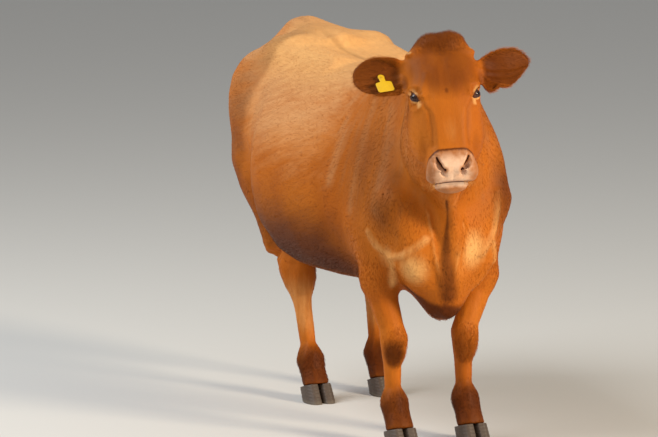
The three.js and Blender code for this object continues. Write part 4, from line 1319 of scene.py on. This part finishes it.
def eyelashes(settings, rng, bark):
    """Lashes along the upper lids."""
    roots, first, last, up = [], [], [], []
    for which, centre in EYES.items():
        ahead, along, across = (np.array(axis) for axis in eye_frame(which))
        upper = np.sign(-across @ np.array(DOWN))
        turn = np.linspace(0.10, 0.92, settings.lashes) * np.pi + rng.normal(0, 0.02, settings.lashes)
        a, b = almond(turn)
        b = np.abs(b) * upper
        ray = np.outer(a, along) + np.outer(b, across)
        ray = unit(ray + np.outer(np.sqrt(np.clip(1 - a * a - b * b, 0, 1)), ahead))
        roots.append(np.array(centre) + ray * (EYE_RADIUS + LASH_HEIGHT))
        first.append(unit(ray + 0.5 * across * upper + rng.normal(0, 0.06, ray.shape)))
        last.append(unit(ray * 0.7 - 0.35 * across * upper + 0.3 * np.outer(a, along)))
        up.append(np.tile(across * upper, (settings.lashes, 1)))
    roots, first, last, up = (np.concatenate(part) for part in (roots, first, last, up))
    marks = markings(roots, first)
    marks["pale"] = np.full(len(roots), 0.10)
    marks["dark"] = np.full(len(roots), 0.60)
    length, width = rng.uniform(0.012, 0.020, len(roots)), np.full(len(roots), 0.0005)
    return grow_long("lashes", roots, up, first, last, length, width, 0.0, bark, marks)


def lip_whiskers(settings, rng, bark, points, normals):
    """Whiskers out of the sides of the lips."""
    h = in_head(points)
    lips = (h[:, 1] > 0.235) & (np.abs(h[:, 0]) > 0.035) & (np.abs(mouth_gap(h)) < 0.030) & (h[:, 2] > -0.13)
    some = rng.choice(np.nonzero(lips)[0], settings.whiskers, replace=False)
    roots, up = points[some] - normals[some] * 0.001, normals[some]
    first = unit(up + 0.5 * np.array(DOWN) + rng.normal(0, 0.15, up.shape))
    last = unit(up + 0.9 * np.array(DOWN) + np.outer(np.sign(h[some, 0]) * 0.4, SIDE))
    marks = markings(points[some] - np.array(DOWN) * 0.08, up)  # the face's hair above the muzzle
    for name, value in {"bare": 0.0, "inside": 0.0, "pale": 0.7, "dark": 0.0}.items():
        marks[name] = np.full(len(some), value)
    length, width = rng.uniform(0.014, 0.034, len(some)), np.full(len(some), 0.00045)
    side = unit(np.cross(first, up))
    return grow_long("whiskers", roots, side, first, last, length, width, 0.004, bark, marks)


class COW_OT_locks(bpy.types.Operator):
    """Hang the switch of the tail and set the lashes and whiskers"""

    bl_idname = "cow.locks"
    bl_label = "Long Hair"

    def execute(self, context):
        settings = context.scene.cow_locks
        rng = np.random.default_rng(settings.seed)
        skin = bpy.data.objects["skin"]
        bark, finish = Bark(skin), skin.data.materials[0]
        settle(tail_switch(settings, rng, bark), finish, "tassel", "tail_tassel")
        settle(eyelashes(settings, rng, bark), finish, "coat")
        settle(lip_whiskers(settings, rng, bark, points_of(skin), normals_of(skin)), finish, "coat")
        return {"FINISHED"}


# ---------------------------------------------------------------- stage


class CowStageSettings(bpy.types.PropertyGroup):
    """The view and the lights."""

    azimuth: FloatProperty(
        name="Azimuth", description="Direction of the view from straight ahead", subtype="ANGLE",
        default=math.radians(-24),
    )
    elevation: FloatProperty(
        name="Elevation", description="Height of the view", subtype="ANGLE", default=math.radians(8.5)
    )
    distance: length_setting("Distance", "Camera to cow", 18.0)
    lens: FloatProperty(name="Lens", description="Focal length in millimetres", default=271.4)
    key: FloatProperty(name="Key", description="Power of the main light", default=820.0, unit="POWER")
    fill: FloatProperty(
        name="Fill", description="Power of the broad light from above", default=470.0, unit="POWER"
    )
    sky: FloatProperty(name="Sky", description="Strength of the light all round", default=0.34)


AIM = (-0.207, 0.7361)  # the point that the camera aims at, right of and above the cow's place on the ground


def lamp(name, place, aim, width, power, colour):
    bpy.ops.object.light_add(type="AREA", location=place)
    light = bpy.context.object
    light.name = name
    light.rotation_euler = (Vector(aim) - Vector(place)).to_track_quat("-Z", "Y").to_euler()
    light.data.size = width
    light.data.energy = power
    light.data.color = colour


class COW_OT_stage(bpy.types.Operator):
    """Lay the floor and set the lights and the camera"""

    bl_idname = "cow.stage"
    bl_label = "Stage"

    def execute(self, context):
        look = context.scene.cow_stage
        bpy.ops.mesh.primitive_plane_add(size=60)
        floor = context.object
        floor.name = "floor"
        f = Finish("floor")
        f.paint(base_color=opaque((0.66, 0.65, 0.61)), roughness=0.9)
        floor.data.materials.append(f.material)

        a, e = look.azimuth, look.elevation
        back = Vector((math.sin(a) * math.cos(e), -math.cos(a) * math.cos(e), math.sin(e)))
        right = Vector((math.cos(a), math.sin(a), 0))
        up = back.cross(right)
        bpy.ops.object.camera_add()
        camera = context.object
        camera.location = GROUND + right * AIM[0] + up * AIM[1] + back * look.distance
        camera.rotation_euler = (-back).to_track_quat("-Z", "Y").to_euler()
        camera.data.sensor_width = 36
        camera.data.lens = look.lens
        camera.data.clip_end = 200
        context.scene.camera = camera

        world = bpy.data.worlds.new("studio")
        world.use_nodes = True
        world.node_tree.nodes["Background"].inputs["Color"].default_value = (0.96, 0.97, 1.0, 1.0)
        world.node_tree.nodes["Background"].inputs["Strength"].default_value = look.sky
        context.scene.world = world
        lamp("key", (4.4, -7.6, 3.9), (0, -0.3, 0.8), 2.0, look.key, (1.0, 0.86, 0.66))
        lamp("fill", (-5.0, 1.0, 6.0), (0, 0.2, 0.9), 5.0, look.fill, (0.95, 0.97, 1.0))
        context.scene.view_settings.view_transform = "Standard"
        return {"FINISHED"}


# ---------------------------------------------------------------- the add-on


class COW_PT_panel(bpy.types.Panel):
    """The cow's pieces in the sidebar"""

    bl_label = "Cow"
    bl_space_type = "VIEW_3D"
    bl_region_type = "UI"
    bl_category = "Cow"

    def draw(self, context):
        for settings in SETTINGS:
            group = getattr(context.scene, settings)
            for name in group.__annotations__:
                self.layout.prop(group, name)
        for step in STEPS:
            self.layout.operator(step.bl_idname)


STEPS = (COW_OT_stage, COW_OT_skin, COW_OT_eyes, COW_OT_horn, COW_OT_tag, COW_OT_coat, COW_OT_locks)
SETTINGS = {
    "cow_skin": CowSkinSettings, "cow_coat": CowCoatSettings, "cow_hair": CowHairSettings,
    "cow_eyes": CowEyeSettings, "cow_horn": CowHornSettings, "cow_stage": CowStageSettings,
    "cow_locks": CowLockSettings,
}


def register():
    for settings in (*SETTINGS.values(), *STEPS, COW_PT_panel):
        bpy.utils.register_class(settings)
    for name, settings in SETTINGS.items():
        setattr(bpy.types.Scene, name, PointerProperty(type=settings))


def unregister():
    for name in SETTINGS:
        delattr(bpy.types.Scene, name)
    for settings in (COW_PT_panel, *reversed(STEPS), *SETTINGS.values()):
        bpy.utils.unregister_class(settings)


def main():
    register()
    bpy.ops.cow.stage()
    bpy.ops.cow.skin()
    bpy.ops.cow.eyes()
    bpy.ops.cow.horn()
    bpy.ops.cow.tag()
    bpy.ops.cow.coat()
    bpy.ops.cow.locks()


if __name__ == "__main__":
    main()
